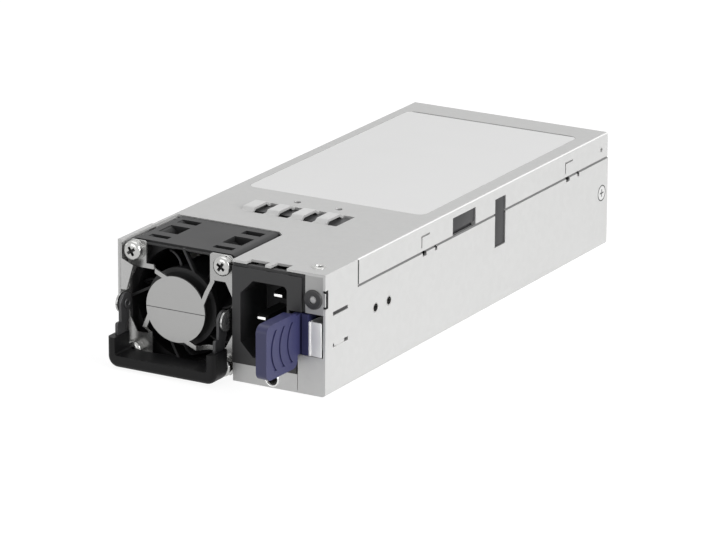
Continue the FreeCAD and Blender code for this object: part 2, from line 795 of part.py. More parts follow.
def corner_places():
    """The fan's four screw places, measured from the fan's axis."""
    return [(f"{a}{SCREW}", f"{b}{SCREW}") for a in ("-", "") for b in ("-", "")]


def fan_frame():
    """Square fan housing: barrel with corner posts and pockets, motor holder on four swept struts."""
    body = new_body("fan_frame", FAN)
    side = rectangle(f"-{HALF}", HALF, f"-{HALF}", HALF, "fan_corner")
    pad(body, "block", "XZ", "fan_bevel", "fan_depth-fan_bevel", [side])
    inset = f"({HALF}-fan_bevel/2)"
    lip = rectangle(f"-{inset}", inset, f"-{inset}", inset, "fan_corner-fan_bevel/2")
    pad(body, "front_lip", "XZ", "0", "fan_bevel", [lip])
    # pockets between the barrel and the corner posts, on all four sides
    near, far = f"{HALF}-post_side-pocket_wide", f"{HALF}-post_side"
    second = "fan_flange+fan_pocket+fan_rib"
    third = f"{second}+fan_window+fan_rib"
    for index, (start, run) in enumerate((("fan_flange", "fan_pocket"), (second, "fan_window"),
                                          (third, "fan_far_pocket")), start=1):
        for name, low, high in (("left", f"-({far})", f"-({near})"), ("right", near, far)):
            upright = rectangle(low, high, f"-2*{HALF}", f"2*{HALF}")
            level = rectangle(f"-2*{HALF}", f"2*{HALF}", low, high)
            for way, loop in (("upright", upright), ("level", level)):
                pocket(body, f"{way}_{name}_{index}", "XZ", start, run, [loop])
    pad(body, "barrel", "XZ", "fan_bevel", "fan_depth-fan_bevel", [], [("0", "0", f"{HALF}")])
    # square mouth with a boss in each corner, then the round bore
    edge = f"({HALF}-mouth_wall)"
    mouth = rectangle(f"-{edge}", edge, f"-{edge}", edge, "recess_corner")
    pocket(body, "mouth", "XZ", "0", "recess_depth", [mouth])
    pad(body, "bosses", "XZ", "fan_bevel", "fan_depth-2*fan_bevel", [],
        [(x, z, "boss_radius") for x, z in corner_places()])
    pocket(body, "bore", "XZ", "0", "fan_depth", [], [("0", "0", BORE)])
    pad(body, "holder", "XZ", "0", "holder_thick", [], [("0", "0", HOLDER)])
    pocket(body, "holder_dish", "XZ", "0", "holder_dish", [], [("0", "0", f"{HOLDER}-holder_rim")])
    start, end = f"{HOLDER}-holder_rim", f"{BORE}+fan_wall/2"
    strut_loop = [("strut_turn-strut_width", start), ("strut_turn", start), ("strut_width", end), ("0", end)]
    strut = pad(body, "strut", "XZ", "0", "holder_thick", [strut_loop])
    turn_copies(body, "struts", [strut], "strut_count")
    pad(body, "bearing_tube", "XZ", "holder_thick", f"{CUP_BACK}-hub_wall*4-holder_thick", [],
        [("0", "0", "bearing_radius+hub_wall")])
    pocket(body, "bearing_bore", "XZ", "holder_thick", f"{CUP_BACK}-hub_wall*4-holder_thick", [],
           [("0", "0", "bearing_radius+snug")])
    holes = [(x, z, "fan_screw_hole") for x, z in corner_places()]
    pocket(body, "screw_holes", "XZ", "0", "screw_long+fan_wall", [], holes)
    return keep(body, "fan_frame")


def fan_impeller():
    """Rotor cup with swept blades; the cup opens to the motor holder and grips the shaft at its boss."""
    body = new_body("impeller_cup")
    rim = "(holder_thick+hub_wall)"
    inner = f"({CUP_BACK}-hub_wall)"
    cup = [
        ("0", CUP_BACK), (f"{HUB}-hub_wall", CUP_BACK), (HUB, inner), (HUB, rim), (f"{HUB}-hub_wall", rim),
        (f"{HUB}-hub_wall", inner), ("2*shaft_radius", inner), ("2*shaft_radius", f"{inner}-2*hub_wall"),
        ("shaft_radius+snug", f"{inner}-2*hub_wall"), ("shaft_radius+snug", inner), ("0", inner),
    ]
    revolve(body, "cup", "XY", [cup], "Y_Axis")
    hub, wall = value(HUB), value("hub_wall")
    front, back = value(rim) + wall, value(CUP_BACK) - 2 * wall
    tip = value(BORE) - value("fan_blade_clear")
    thick = value("fan_blade")
    count = int(value("fan_blades"))
    sweep = value("blade_sweep")
    blades = []
    for index in range(count):
        turn = Rotation(Vector(0, 1, 0), 360 * index / count)
        sections = []
        outer = math.sqrt(1 - sweep ** 2) * tip - thick / 4
        for radius, swing in ((hub - wall / 2, sweep * hub * 2 / 3), (outer, sweep * tip)):
            corners = [Vector(radius, front, swing - thick / 2), Vector(radius, front, swing + thick / 2),
                       Vector(radius, back, -swing + thick / 2), Vector(radius, back, -swing - thick / 2)]
            corners = [turn.multVec(corner) for corner in corners]
            sections.append(Part.makePolygon(corners + corners[:1]))
        blades.append(Part.makeLoft(sections, True, True))
    vanes = doc.addObject("Part::Feature", "impeller_blades")
    vanes.Shape = Part.makeCompound(blades)
    whole = fuse("impeller", body, vanes)
    return keep(put(whole, FAN), "fan_impeller")


def fan_motor():
    """Shaft, two bearings and the wound stator."""
    x, y, z = FAN
    start = f"({y}+holder_thick+hub_wall)"
    end = f"({y}+{CUP_BACK}-hub_wall)"
    tube_end = f"({y}+{CUP_BACK}-hub_wall*4)"
    shaft = rod("shaft", "Y", (x, start, z), "shaft_radius", f"{end}-{start}")
    keep(shaft, "fan_shaft")
    races = []
    for name, low in (("front", start), ("back", f"{tube_end}-bearing_width")):
        ring = rod(name + "_race", "Y", (x, low, z), "bearing_radius", "bearing_width")
        eye = rod(name + "_eye", "Y", (x, low, z), "shaft_radius+spin_clear", "bearing_width")
        races.append(cut(name + "_bearing", ring, eye))
    keep(group("bearings", *races), "fan_bearings")
    low = f"({start}+bearing_width)"
    run = f"{tube_end}-{low}-bearing_width"
    core = rod("stator_core", "Y", (x, low, z), f"{HUB}-2.2*hub_wall", run)
    eye = rod("stator_eye", "Y", (x, low, z), "bearing_radius+hub_wall+snug", run)
    keep(cut("stator", core, eye), "fan_stator")


def fan_guard():
    """Sheet guard: corner tabs, four cranked arms to a disc over the hub, and two bent side ears."""
    body = new_body("fan_guard", FAN)
    tab, reach = f"({HALF}-guard_tab)", f"({HALF}-guard_reach)"
    right_half = [
        (reach, HALF, "guard_tab_round"), (f"{HALF}-guard_clip", HALF), (HALF, f"{HALF}-guard_clip"),
        (HALF, f"-{HALF}+guard_clip"), (f"{HALF}-guard_clip", f"-{HALF}"), (tab, f"-{HALF}", "guard_tab_round"),
        (tab, f"-{reach}"), (f"{HALF}-guard_slant", f"-{reach}"), (f"{HALF}-guard_skin", "-guard_waist"),
        (f"{HALF}-guard_skin", "guard_waist"), (f"{HALF}-guard_slant", reach), (reach, reach),
    ]
    left_half = [(f"-({corner[0]})", f"-({corner[1]})") + corner[2:] for corner in right_half]
    disc_front = "(-guard_skin-guard_rise)"
    disc = f"({HALF}-disc_gap)"
    pad(body, "disc", "XZ", disc_front, "guard_skin", [], [("0", "0", disc)])
    # arm of the upper left corner: strip along the tab's lower edge, crank, and link to the disc
    low, high = reach, f"({reach}+arm_wide)"
    bend = f"({tab}-arm_lead)"
    crest = f"({bend}-arm_crank)"
    strip_outline = rectangle(f"-{tab}", f"-{bend}", low, high)
    strip = pad(body, "arm_strip", "XZ", "-guard_skin", "guard_skin", [strip_outline])
    crank_side = [
        (f"-{bend}-guard_skin/2", "-guard_skin"), (f"-{bend}", "-guard_skin"), (f"-{crest}", disc_front),
        (f"-{crest}+guard_skin/2", disc_front), (f"-{crest}+guard_skin/2", f"{disc_front}+guard_skin"),
        (f"-{crest}", f"{disc_front}+guard_skin"), (f"-{bend}", "0"), (f"-{bend}-guard_skin/2", "0"),
    ]
    crank = pad(body, "arm_crank", "XY", low, "arm_wide", [crank_side])
    link_end = f"(-{crest}+arm_reach)"
    link_outline = [
        (f"-{crest}", low), (link_end, f"{low}-arm_fall"), (link_end, f"{high}-arm_fall"), (f"-{crest}", high),
    ]
    link = pad(body, "arm_link", "XZ", disc_front, "guard_skin", [link_outline])
    turn_copies(body, "arms", [strip, crank, link], "4")
    pad(body, "tabs", "XZ", "-guard_skin", "guard_skin", [right_half, left_half])
    nose = f"{PIVOT_Y}-ear_radius"
    ear = [
        (nose, f"{PIVOT_Z}-ear_radius", "ear_radius"), ("-2*guard_skin", f"{PIVOT_Z}-ear_radius"),
        ("0", f"{PIVOT_Z}-ear_root"), ("0", f"{PIVOT_Z}+ear_root"), ("-2*guard_skin", f"{PIVOT_Z}+ear_radius"),
        (nose, f"{PIVOT_Z}+ear_radius", "ear_radius"),
    ]
    for name, start in (("left", f"-{HALF}"), ("right", f"{HALF}-guard_skin")):
        pad(body, name + "_ear", "YZ", start, "guard_skin", [ear])
    pocket(body, "pin_holes", "YZ", f"-{HALF}", f"2*{HALF}", [],
           [(PIVOT_Y, PIVOT_Z, "pin_radius+snug")])
    pocket(body, "screw_holes", "XZ", "-guard_skin", "guard_skin", [],
           [(x, z, "screw_shank+snug") for x, z in corner_places()])
    pocket(body, "disc_groove", "XZ", disc_front, "disc_groove/2",
           [rectangle(f"-{disc}", disc, "-2*disc_groove", "-disc_groove")])
    return keep(body, "fan_guard")


def fan_fasteners():
    """Four cross-head screws with washers that clamp the guard to the fan's corners."""
    screws, washers = [], []
    seat = "(guard_skin+washer_thick)"
    for index, (x, z) in enumerate(corner_places(), start=1):
        place = (f"{FAN[0]}+{x}", FAN[1], f"{FAN[2]}+{z}")
        body = new_body(f"fan_screw_{index}", place)
        top = f"-{seat}-screw_head_thick"
        section = [
            ("0", top), ("0.72*screw_head", top), ("screw_head", f"{top}+0.4*screw_head_thick"),
            ("screw_head", f"-{seat}"), ("screw_shank", f"-{seat}"), ("screw_shank", "screw_long"),
            ("0", "screw_long"),
        ]
        revolve(body, f"form_{index}", "XY", [section], "Y_Axis")
        wide, thin = "0.62*screw_head", "screw_cross/2"
        cross = [
            (f"-{thin}", f"-{wide}"), (thin, f"-{wide}"), (thin, f"-{thin}"), (wide, f"-{thin}"),
            (wide, thin), (thin, thin), (thin, wide), (f"-{thin}", wide), (f"-{thin}", thin),
            (f"-{wide}", thin), (f"-{wide}", f"-{thin}"), (f"-{thin}", f"-{thin}"),
        ]
        pocket(body, f"cross_{index}", "XZ", top, "0.55*screw_head_thick", [cross])
        screws.append(body)
        ring_at = (place[0], f"{place[1]}-{seat}", place[2])
        disc = rod(f"washer_disc_{index}", "Y", ring_at, "washer_radius", "washer_thick")
        eye = rod(f"washer_eye_{index}", "Y", ring_at, "screw_shank+snug", "washer_thick")
        washers.append(cut(f"washer_{index}", disc, eye))
    keep(group("fan_screw_set", *screws), "fan_screws")
    keep(group("washer_set", *washers), "fan_washers")


# ---------------------------------------------------------------- bail handle
def handle_arm(name, side):
    """Flat steel arm: a round eye at the pivot, a neck, and a wide shank that sits in the grip's leg."""
    x, y, z = FAN
    outer = f"({HALF}-guard_skin-bail_gap)"
    start = f"{x}-{outer}" if side == "left" else f"{x}+{outer}-bail_thick"
    body = new_body(name, (start, f"{y}+{PIVOT_Y}", "pivot_up"))
    foot = "(grip_low+0.3*grip_bar-pivot_up)"
    pad(body, name + "_eye", "YZ", "0", "bail_thick", [], [("0", "0", "ear_radius")])
    shank = [
        ("-neck_front", "0"), ("-neck_front", "-shank_drop"), ("-shank_front", "-shank_drop", "shank_round"),
        ("-shank_front", foot), ("-shank_back", foot), ("-shank_back", "-shank_drop-neck_back"),
        ("neck_back", "-shank_drop"), ("neck_back", "0"),
    ]
    pad(body, name + "_shank", "YZ", "0", "bail_thick", [shank])
    pocket(body, name + "_bore", "YZ", "0", "bail_thick", [], [("0", "0", "pin_radius+spin_clear")])
    return keep(body, name)


def handle_grip():
    """Moulded U-shaped grip with rounded corners; the arms plug into slots in its legs."""
    x, y, z = FAN
    body = new_body("handle_grip", (x, FRONT, "0"))
    half = f"({HALF}+grip_side)"
    leg = f"({half}-grip_leg)"
    inner_top = "(grip_low+grip_bar)"
    outline = [
        (f"-{half}", "grip_low", "grip_corner"), (half, "grip_low", "grip_corner"), (half, "grip_top"),
        (leg, "grip_top"), (leg, inner_top, "grip_inner"), (f"-{leg}", inner_top, "grip_inner"),
        (f"-{leg}", "grip_top"), (f"-{half}", "grip_top"),
    ]
    form = pad(body, "grip_form", "XZ", "-grip_front", "grip_front-grip_back", [outline])
    doc.recompute()
    low = value("grip_low")
    edges = [f"Edge{index}" for index, edge in enumerate(form.Shape.Edges, start=1)
             if abs(edge.CenterOfMass.z - low) < 1e-6 and abs(edge.tangentAt(edge.FirstParameter).x) > 0.99
             and isinstance(edge.Curve, Part.Line)]
    rounded = body.newObject("PartDesign::Fillet", "grip_rounding")
    rounded.Base = (form, edges)
    rounded.setExpression("Radius", bound("grip_round"))
    arm_out = f"{HALF}-guard_skin-bail_gap"
    for name, low_x in (("left", f"-({arm_out})"), ("right", f"{arm_out}-bail_thick")):
        slot = rectangle(f"{low_x}-grip_fit", f"{low_x}+bail_thick+grip_fit",
                         "-pivot_out-shank_front-grip_fit", "-pivot_out-shank_back+grip_fit")
        pocket(body, name + "_slot", "XY", "grip_low+0.3*grip_bar-grip_fit",
               "grip_top-grip_low-0.3*grip_bar+grip_fit", [slot])
    return keep(body, "handle_grip")


def handle_pins():
    """Two rivets on which the arms turn, set in the guard's ears."""
    x, y, z = FAN
    pins = []
    arm_in = f"({HALF}-guard_skin-bail_gap-bail_thick-lap_clear)"
    for name, sign in (("left", "-"), ("right", "")):
        body = new_body(name + "_pin", (x, f"{y}+{PIVOT_Y}", "pivot_up"))
        section = [
            (f"{sign}({arm_in}-pin_head_thick)", "0"), (f"{sign}({arm_in}-pin_head_thick)", "0.7*pin_head"),
            (f"{sign}({arm_in}-0.5*pin_head_thick)", "pin_head"), (f"{sign}{arm_in}", "pin_head"),
            (f"{sign}{arm_in}", "pin_radius"), (f"{sign}{HALF}", "pin_radius"),
            (f"{sign}{HALF}", "0"),
        ]
        revolve(body, name + "_pin_form", "XY", [section], "X_Axis")
        pins.append(body)
    return keep(group("pins", *pins), "handle_pins")


# ---------------------------------------------------------------- release latch
ROOT_LOW = "(right_sheet_top+root_clear)"
ROOT_TOP = "(light_low-root_clear)"


def latch_tab():
    """Moulded finger tab: a leaning blade with curved ribs, and a root that grips the spring leaf."""
    tip = "-tab_length"
    plan = [
        (from_left("width-tab_right-tab_thick-tab_lean"), from_front(tip)),
        (from_left("width-tab_right-tab_lean"), from_front(tip)),
        (from_left("width-tab_right"), from_front("-tab_gap")),
        (from_left("width-tab_right-tab_thick"), from_front("-tab_gap")),
    ]
    blade = new_body("tab_blade")
    pad(blade, "blade_plan", "XY", "tab_low", "tab_top-tab_low", [plan])
    side = new_body("tab_side")
    outline = rectangle(from_front(tip), from_front("-tab_gap"), "tab_low", "tab_top", "tab_corner")
    pad(side, "side_form", "YZ", from_left("width-root_left-4*tab_thick"), "8*tab_thick", [outline])
    trimmed = doc.addObject("Part::Common", "tab_trimmed")
    trimmed.Base, trimmed.Tool = blade, side
    root = new_body("tab_root")
    root_plan = [
        (from_left("width-root_left"), from_front("-tab_gap-groove_depth")),
        (from_left("width-tab_right"), from_front("-tab_gap-groove_depth")),
        (from_left("width-tab_right"), from_front("root_groove")),
        (from_left("width-tab_right+root_groove"), from_front("root_groove")),
        (from_left("width-tab_right+root_groove"), from_front("-root_groove")),
        (from_left("width-root_right"), from_front("-root_groove")),
        (from_left("width-root_right"), from_front("root_depth")),
        (from_left("width-root_left"), from_front("root_depth")),
    ]
    pad(root, "root_plan", "XY", ROOT_LOW, f"{ROOT_TOP}-{ROOT_LOW}", [root_plan])
    # curved grip grooves in the right face: arcs that bulge towards the tip
    middle = "(tab_low+tab_top)/2"
    rings, limits = new_body("groove_rings"), new_body("groove_limits")
    floor = "groove_wide/2"
    for index in range(int(value("groove_count"))):
        crest = f"(groove_first+{index}*groove_pitch)"
        lean = f"(tab_lean*(1-{crest}/(tab_length-tab_gap)))"
        low_x = from_left(f"width-tab_right-{lean}-groove_depth")
        centre = (from_front(f"{crest}-tab_length+groove_radius"), middle)
        pad(rings, f"groove_{index + 1}", "YZ", low_x, "tab_thick", [],
            [(*centre, f"groove_radius+{floor}"), (*centre, f"groove_radius-{floor}")])
        tip_side = from_front(f"{crest}-tab_length-groove_wide")
        window = rectangle(tip_side, f"{tip_side}+groove_deep", f"{middle}-groove_high", f"{middle}+groove_high")
        pad(limits, f"groove_window_{index + 1}", "YZ", low_x, "tab_thick", [window])
    arcs = doc.addObject("Part::Common", "tab_grooves")
    arcs.Base, arcs.Tool = rings, limits
    return keep(cut("tab", fuse("tab_form", trimmed, root), arcs), "latch_tab")


def latch_leaf():
    """Sprung half of the leaf, from the tab's root back to the wall."""
    body = new_body("latch_leaf")
    front = from_front("-root_groove/2")
    back = from_front("leaf_pivot-leaf_gap")
    rear_out = f"{WALL_IN}-leaf_gap"
    plan = [
        (from_left("width-root_right"), front), (from_left("width-root_right+leaf_thick"), front),
        (from_left("width-root_right+leaf_thick"), from_front("root_depth")), (rear_out, back),
        (f"{rear_out}-leaf_thick", back), (from_left("width-root_right"), from_front("root_depth")),
    ]
    pad(body, "leaf", "XY", "leaf_low", "leaf_top-leaf_low", [plan])
    return keep(body, "latch_leaf")


def latch_anchor():
    """Fixed half of the leaf, flat on the side wall, with its two rivets."""
    body = new_body("latch_anchor")
    strip = rectangle(f"{WALL_IN}-leaf_thick", WALL_IN, from_front("leaf_pivot"), from_front("leaf_end"))
    pad(body, "strip", "XY", "leaf_low+1.5", "leaf_top-leaf_low-1.5", [strip])
    places = ["rivet_first", "rivet_first+rivet_pitch"]
    pocket(body, "holes", "YZ", f"{WALL_IN}-leaf_thick", "leaf_thick", [],
           [(from_front(y), "rivet_up", "rivet_radius+snug") for y in places])
    keep(body, "latch_anchor")
    rivets = []
    for index, y in enumerate(places, start=1):
        rivet = new_body(f"rivet_{index}", (WALL_OUT, from_front(y), "rivet_up"))
        depth = "(skin+leaf_thick)"
        section = [
            ("0", "rivet_bore"), ("0", "rivet_radius"), (f"-{depth}", "rivet_radius"),
            (f"-{depth}", "rivet_radius+2*rivet_flange"), (f"-{depth}-rivet_flange", "rivet_radius+2*rivet_flange"),
            (f"-{depth}-rivet_flange", "rivet_bore"),
        ]
        revolve(rivet, f"rivet_form_{index}", "XY", [section], "X_Axis")
        rivets.append(rivet)
    keep(group("rivet_pair", *rivets), "latch_rivets")


# ---------------------------------------------------------------- mains inlet and status light
def inlet_housing():
    """Moulded three-pole appliance inlet: bevelled face, keyed socket, notch beside the latch."""
    body = new_body("inlet_housing")
    left, right = from_left("inlet_left"), from_left("width-inlet_right")
    face = from_front("-inlet_proud")
    bevel_run = "inlet_bevel"
    panel = rectangle(left, right, "inlet_low", "inlet_top")
    pad(body, "panel", "XZ", f"{face}+{bevel_run}", f"inlet_panel-{bevel_run}", [panel])
    raised = [
        (left, "inlet_low"), (f"{right}-inlet_bevel", "inlet_low"), (f"{right}-inlet_bevel", "inlet_top-inlet_bevel"),
        (left, "inlet_top-inlet_bevel"),
    ]
    pad(body, "raised_face", "XZ", face, bevel_run, [raised])
    back = rectangle(from_left("inlet_body_left"), from_left("inlet_body_right"),
                     "inlet_body_low", "inlet_body_top", "socket_corner")
    pad(body, "body", "XZ", f"{face}+inlet_panel-skin", "inlet_body_depth-inlet_panel+skin", [back])
    x_low, x_high = from_left("socket_left"), from_left("socket_left+socket_wide")
    z_low, z_high = "(socket_up-socket_high/2)", "(socket_up+socket_high/2)"
    keyed = [
        (x_high, z_low, "socket_corner"), (x_high, z_high, "socket_corner"), (f"{x_low}+socket_chamfer", z_high),
        (x_low, f"{z_high}-socket_chamfer"), (x_low, f"{z_low}+socket_chamfer"), (f"{x_low}+socket_chamfer", z_low),
    ]
    pocket(body, "socket", "XZ", face, "socket_depth", [keyed])
    notch = rectangle(from_left("width-notch_left"), from_left("width-inlet_right+skin"), ROOT_LOW + "-root_clear",
                      ROOT_TOP + "+root_clear")
    pocket(body, "latch_notch", "XZ", f"{face}-skin", "notch_depth", [notch])
    corner = rectangle(from_left("width-seam-seam_gap"), from_left("width-inlet_right+skin"), "inlet_low-skin",
                       "right_sheet_top+root_clear")
    pocket(body, "sheet_notch", "XZ", f"{face}-skin", "inlet_panel+2*skin", [corner])
    slots = [rectangle(*blade_sides(side, up, "snug")) for side, up in blade_places()]
    pocket(body, "blade_slots", "XZ", f"{face}+socket_depth-skin", "inlet_body_depth", slots)
    return keep(body, "inlet_housing")


def blade_places():
    """Line, neutral and earth blades: distance from the left side, and height."""
    return [("blade_side", "socket_up+blade_pitch/2"), ("blade_side", "socket_up-blade_pitch/2"),
            ("earth_side", "socket_up")]


def blade_sides(side, up, clearance):
    """The low and high X and Z of a contact blade's section, widened by a clearance."""
    return (from_left(f"{side}-blade_wide/2-{clearance}"), from_left(f"{side}+blade_wide/2+{clearance}"),
            f"{up}-blade_thick/2-{clearance}", f"{up}+blade_thick/2+{clearance}")


def inlet_blades():
    """Three nickel-plated contact blades with tapered tips and solder tails."""
    names = ("inlet_line_pin", "inlet_neutral_pin", "inlet_earth_pin")
    tips = ("blade_tip", "blade_tip", "earth_tip")
    back = from_front("inlet_body_depth-inlet_proud")
    for name, (side, up), tip in zip(names, blade_places(), tips):
        body = new_body(name)
        x_low, x_high, z_low, z_high = blade_sides(side, up, "0")
        start = from_front(tip)
        shank = rectangle(x_low, x_high, z_low, z_high)
        pad(body, name + "_shank", "XZ", f"{start}+blade_taper", f"{back}-({start})-blade_taper", [shank])
        point = rectangle(f"{x_low}+blade_taper", f"{x_high}-blade_taper",
                          f"{z_low}+blade_taper", f"{z_high}-blade_taper")
        pad(body, name + "_tip", "XZ", start, "2*blade_taper", [point])
        middle_x, middle_z = from_left(side), up
        tail = rectangle(f"{middle_x}-tail_wide/2", f"{middle_x}+tail_wide/2",
                         f"{middle_z}-tail_thick/2", f"{middle_z}+tail_thick/2")
        pad(body, name + "_tail", "XZ", f"{back}-skin", "tail_long+skin", [tail])
        keep(body, name)


def status_light():
    """Bracket in the front corner with the light's black bezel and clear lens."""
    body = new_body("led_bracket")
    high = f"({WALL_TOP}-snug)"
    plate = rectangle(from_left("width-light_left"), WALL_IN, "light_low", high)
    pad(body, "plate", "XZ", FRONT, "skin", [plate])
    ear = rectangle(f"{WALL_IN}-skin/2", WALL_OUT, "ear_slot_low+ear_margin", "ear_slot_high-ear_margin")
    pad(body, "ear", "XZ", FRONT, "skin", [ear])
    flange = rectangle(f"{WALL_IN}-skin", WALL_IN, "light_low", high)
    pad(body, "flange", "XZ", FRONT, "panel_flange", [flange])
    pocket(body, "light_hole", "XZ", FRONT, "skin", [],
           [(from_left("width-light_side"), "light_up", "bezel_barrel+snug")])
    keep(body, "led_bracket")
    bezel = new_body("led_bezel", (from_left("width-light_side"), FRONT, "light_up"))
    section = [
        ("lens_radius+snug", "-bezel_proud"), ("bezel_radius-0.5*bezel_proud", "-bezel_proud"),
        ("bezel_radius", "-0.5*bezel_proud"), ("bezel_radius", "0"), ("bezel_barrel", "0"),
        ("bezel_barrel", "bezel_long"), ("lens_radius+snug", "bezel_long"),
    ]
    revolve(bezel, "bezel_form", "XY", [section], "Y_Axis")
    keep(bezel, "led_bezel")
    lens = new_body("led_lens", (from_left("width-light_side"), FRONT, "light_up"))
    dome = [
        ("0", "-0.9*bezel_proud"), ("0.6*lens_radius", "-0.8*bezel_proud"), ("lens_radius", "-0.3*bezel_proud"),
        ("lens_radius", "bezel_long"), ("0", "bezel_long"),
    ]
    revolve(lens, "lens_form", "XY", [dome], "Y_Axis")
    keep(lens, "led_lens")


# ---------------------------------------------------------------- main board
BOARD_HALF = "(width/2-board_margin)"
BOARD_TOP = "(board_up+board_thick)"
BOARD_BACK = "(length/2-board_back_gap)"


def standoff_places():
    """Centres of the board's four standoffs."""
    side = f"({BOARD_HALF}-standoff_inset)"
    rows = (f"({from_front('board_front')}+standoff_inset+film_front-board_front)", f"({BOARD_BACK}-3*standoff_inset)")
    return [(f"{sign}{side}", y) for sign in ("-", "") for y in rows]


def main_board():
    """Power board whose back edge carries on through the case as the card-edge connector."""
    body = new_body("main_board")
    card = "card_width/2"
    tip = "length/2+card_out"
    outline = [
        (f"-{BOARD_HALF}", from_front("board_front")), (BOARD_HALF, from_front("board_front")),
        (BOARD_HALF, BOARD_BACK), (card, BOARD_BACK), (card, f"{tip}-card_bevel"), (f"{card}-card_bevel", tip),
        (f"-{card}+card_bevel", tip), (f"-{card}", f"{tip}-card_bevel"), (f"-{card}", BOARD_BACK),
        (f"-{BOARD_HALF}", BOARD_BACK),
    ]
    pad(body, "board", "XY", "board_up", "board_thick", [outline])
    pocket(body, "screw_holes", "XY", "board_up", "board_thick", [],
           [(x, y, "board_hole") for x, y in standoff_places()])
    return keep(body, "main_board")


def edge_contacts():
    """Two rows of gold-plated pads on the card edge."""
    pads = []
    front = "length/2+card_out-card_bevel-contact_long"
    for row, z in (("top", BOARD_TOP), ("bottom", "board_up-contact_thick")):
        for index in range(int(value("contact_count"))):
            x = f"({index}-(contact_count-1)/2)*contact_pitch-contact_wide/2"
            pads.append(box(f"{row}_contact_{index + 1}", (x, front, z), ("contact_wide", "contact_long", "contact_thick")))
    return keep(group("contacts", *pads), "edge_contacts")


def board_mounting():
    """Standoffs on the case floor and the screws that hold the board to them."""
    posts, screws = [], []
    for index, (x, y) in enumerate(standoff_places(), start=1):
        post = rod(f"post_{index}", "Z", (x, y, "skin"), "standoff_radius", "board_up-skin")
        bore = rod(f"post_bore_{index}", "Z", (x, y, "skin"), "standoff_bore", "board_up-skin")
        posts.append(cut(f"standoff_{index}", post, bore))
        head = rod(f"head_{index}", "Z", (x, y, BOARD_TOP), "board_screw_head", "board_screw_thick")
        shank = rod(f"shank_{index}", "Z", (x, y, "2*skin"), "standoff_bore-snug", f"{BOARD_TOP}-2*skin+snug")
        screws.append(fuse(f"board_screw_{index}", head, shank))
    keep(group("standoffs", *posts), "board_standoffs")
    keep(group("board_screw_set", *screws), "board_screws")


# ---------------------------------------------------------------- parts on the board
def bulk_capacitor():
    """Large storage capacitor lying along the board, with a crimped neck."""
    body = new_body("bulk_capacitor", (from_left("can_side"), from_front("can_front"),
                                       f"{BOARD_TOP}+can_saddle+can_radius"))
    neck = "can_radius-can_ring"
    section = [
        ("0", "0"), (neck, "0"), ("can_radius", "can_ring"), ("can_radius", "4*can_ring"), (neck, "5*can_ring"),
        (neck, "7*can_ring"), ("can_radius", "8*can_ring"), ("can_radius", "can_long-can_ring"),
        (neck, "can_long"), ("0", "can_long"),
    ]
    revolve(body, "can", "XY", [section], "Y_Axis")
    return keep(body, "bulk_capacitor")


def ring_choke(name, side, front, radius, tube):
    """Toroidal choke flat on the board: a wound ring with a rounded section."""
    body = new_body(name, (from_left(side), from_front(front), BOARD_TOP))
    soft = f"0.55*{tube}"
    section = rectangle(f"{radius}-{tube}", f"{radius}+{tube}", "0", f"2*{tube}", soft)
    sketch = draw(body, name + "_section", "XZ", "0", [section])
    ring = body.newObject("PartDesign::Revolution", name + "_ring")
    ring.Profile = sketch
    axis = next(item for item in body.Origin.OriginFeatures if item.Role == "Z_Axis")
    ring.ReferenceAxis = (axis, [""])
    ring.Angle = 360
    return keep(body, name)


def transformer():
    """E-core transformer: ferrite frame standing on the board, and its winding on the middle leg."""
    side, front = from_left("core_side"), from_front("core_front")
    core = new_body("transformer_core", (side, front, BOARD_TOP))
    half = "core_wide/2"
    frame = rectangle(f"-{half}", half, "0", "core_high")
    pad(core, "core_block", "XZ", "0", "core_long", [frame])
    windows = []
    for sign in ("-", ""):
        inner, outer = f"{sign}core_leg/2", f"{sign}({half}-core_leg/2)"
        windows.append(rectangle(inner, outer, "core_leg", "core_high-core_leg"))
    pocket(core, "windows", "XZ", "0", "core_long", windows)
    keep(core, "transformer_core")
    coil = new_body("transformer_winding", (side, front, BOARD_TOP))
    low, high = "core_leg+coil_clear", "core_high-core_leg-coil_clear"
    out, gap = f"{half}-core_leg/2-coil_clear", "core_leg/2+coil_clear"
    ring = rectangle(f"-({out})", out, "-core_leg/2", "core_long+core_leg/2", "core_leg/2")
    hole = rectangle(f"-({gap})", gap, "-coil_clear", "core_long+coil_clear")
    pad(coil, "coil", "XY", low, f"{high}-({low})", [ring, hole])
    keep(coil, "transformer_winding")


def heatsink(name, front, run):
    """Finned aluminium plate standing on the board, fins towards the middle of the case."""
    body = new_body(name, (from_left("sink_side"), from_front(front), BOARD_TOP))
    plate = rectangle("0", "sink_thick", "0", run)
    pad(body, name + "_plate", "XY", "0", "sink_high", [plate])
    comb = []
    for index in range(int(value("sink_fin_count"))):
        z = f"sink_high*{(index + 0.5)}/sink_fin_count"
        comb.append(rectangle("-sink_fin", "sink_thick/2", f"{z}-sink_fin_thick/2", f"{z}+sink_fin_thick/2"))
    pad(body, name + "_fins", "XZ", "0", run, comb)
    return keep(body, name)


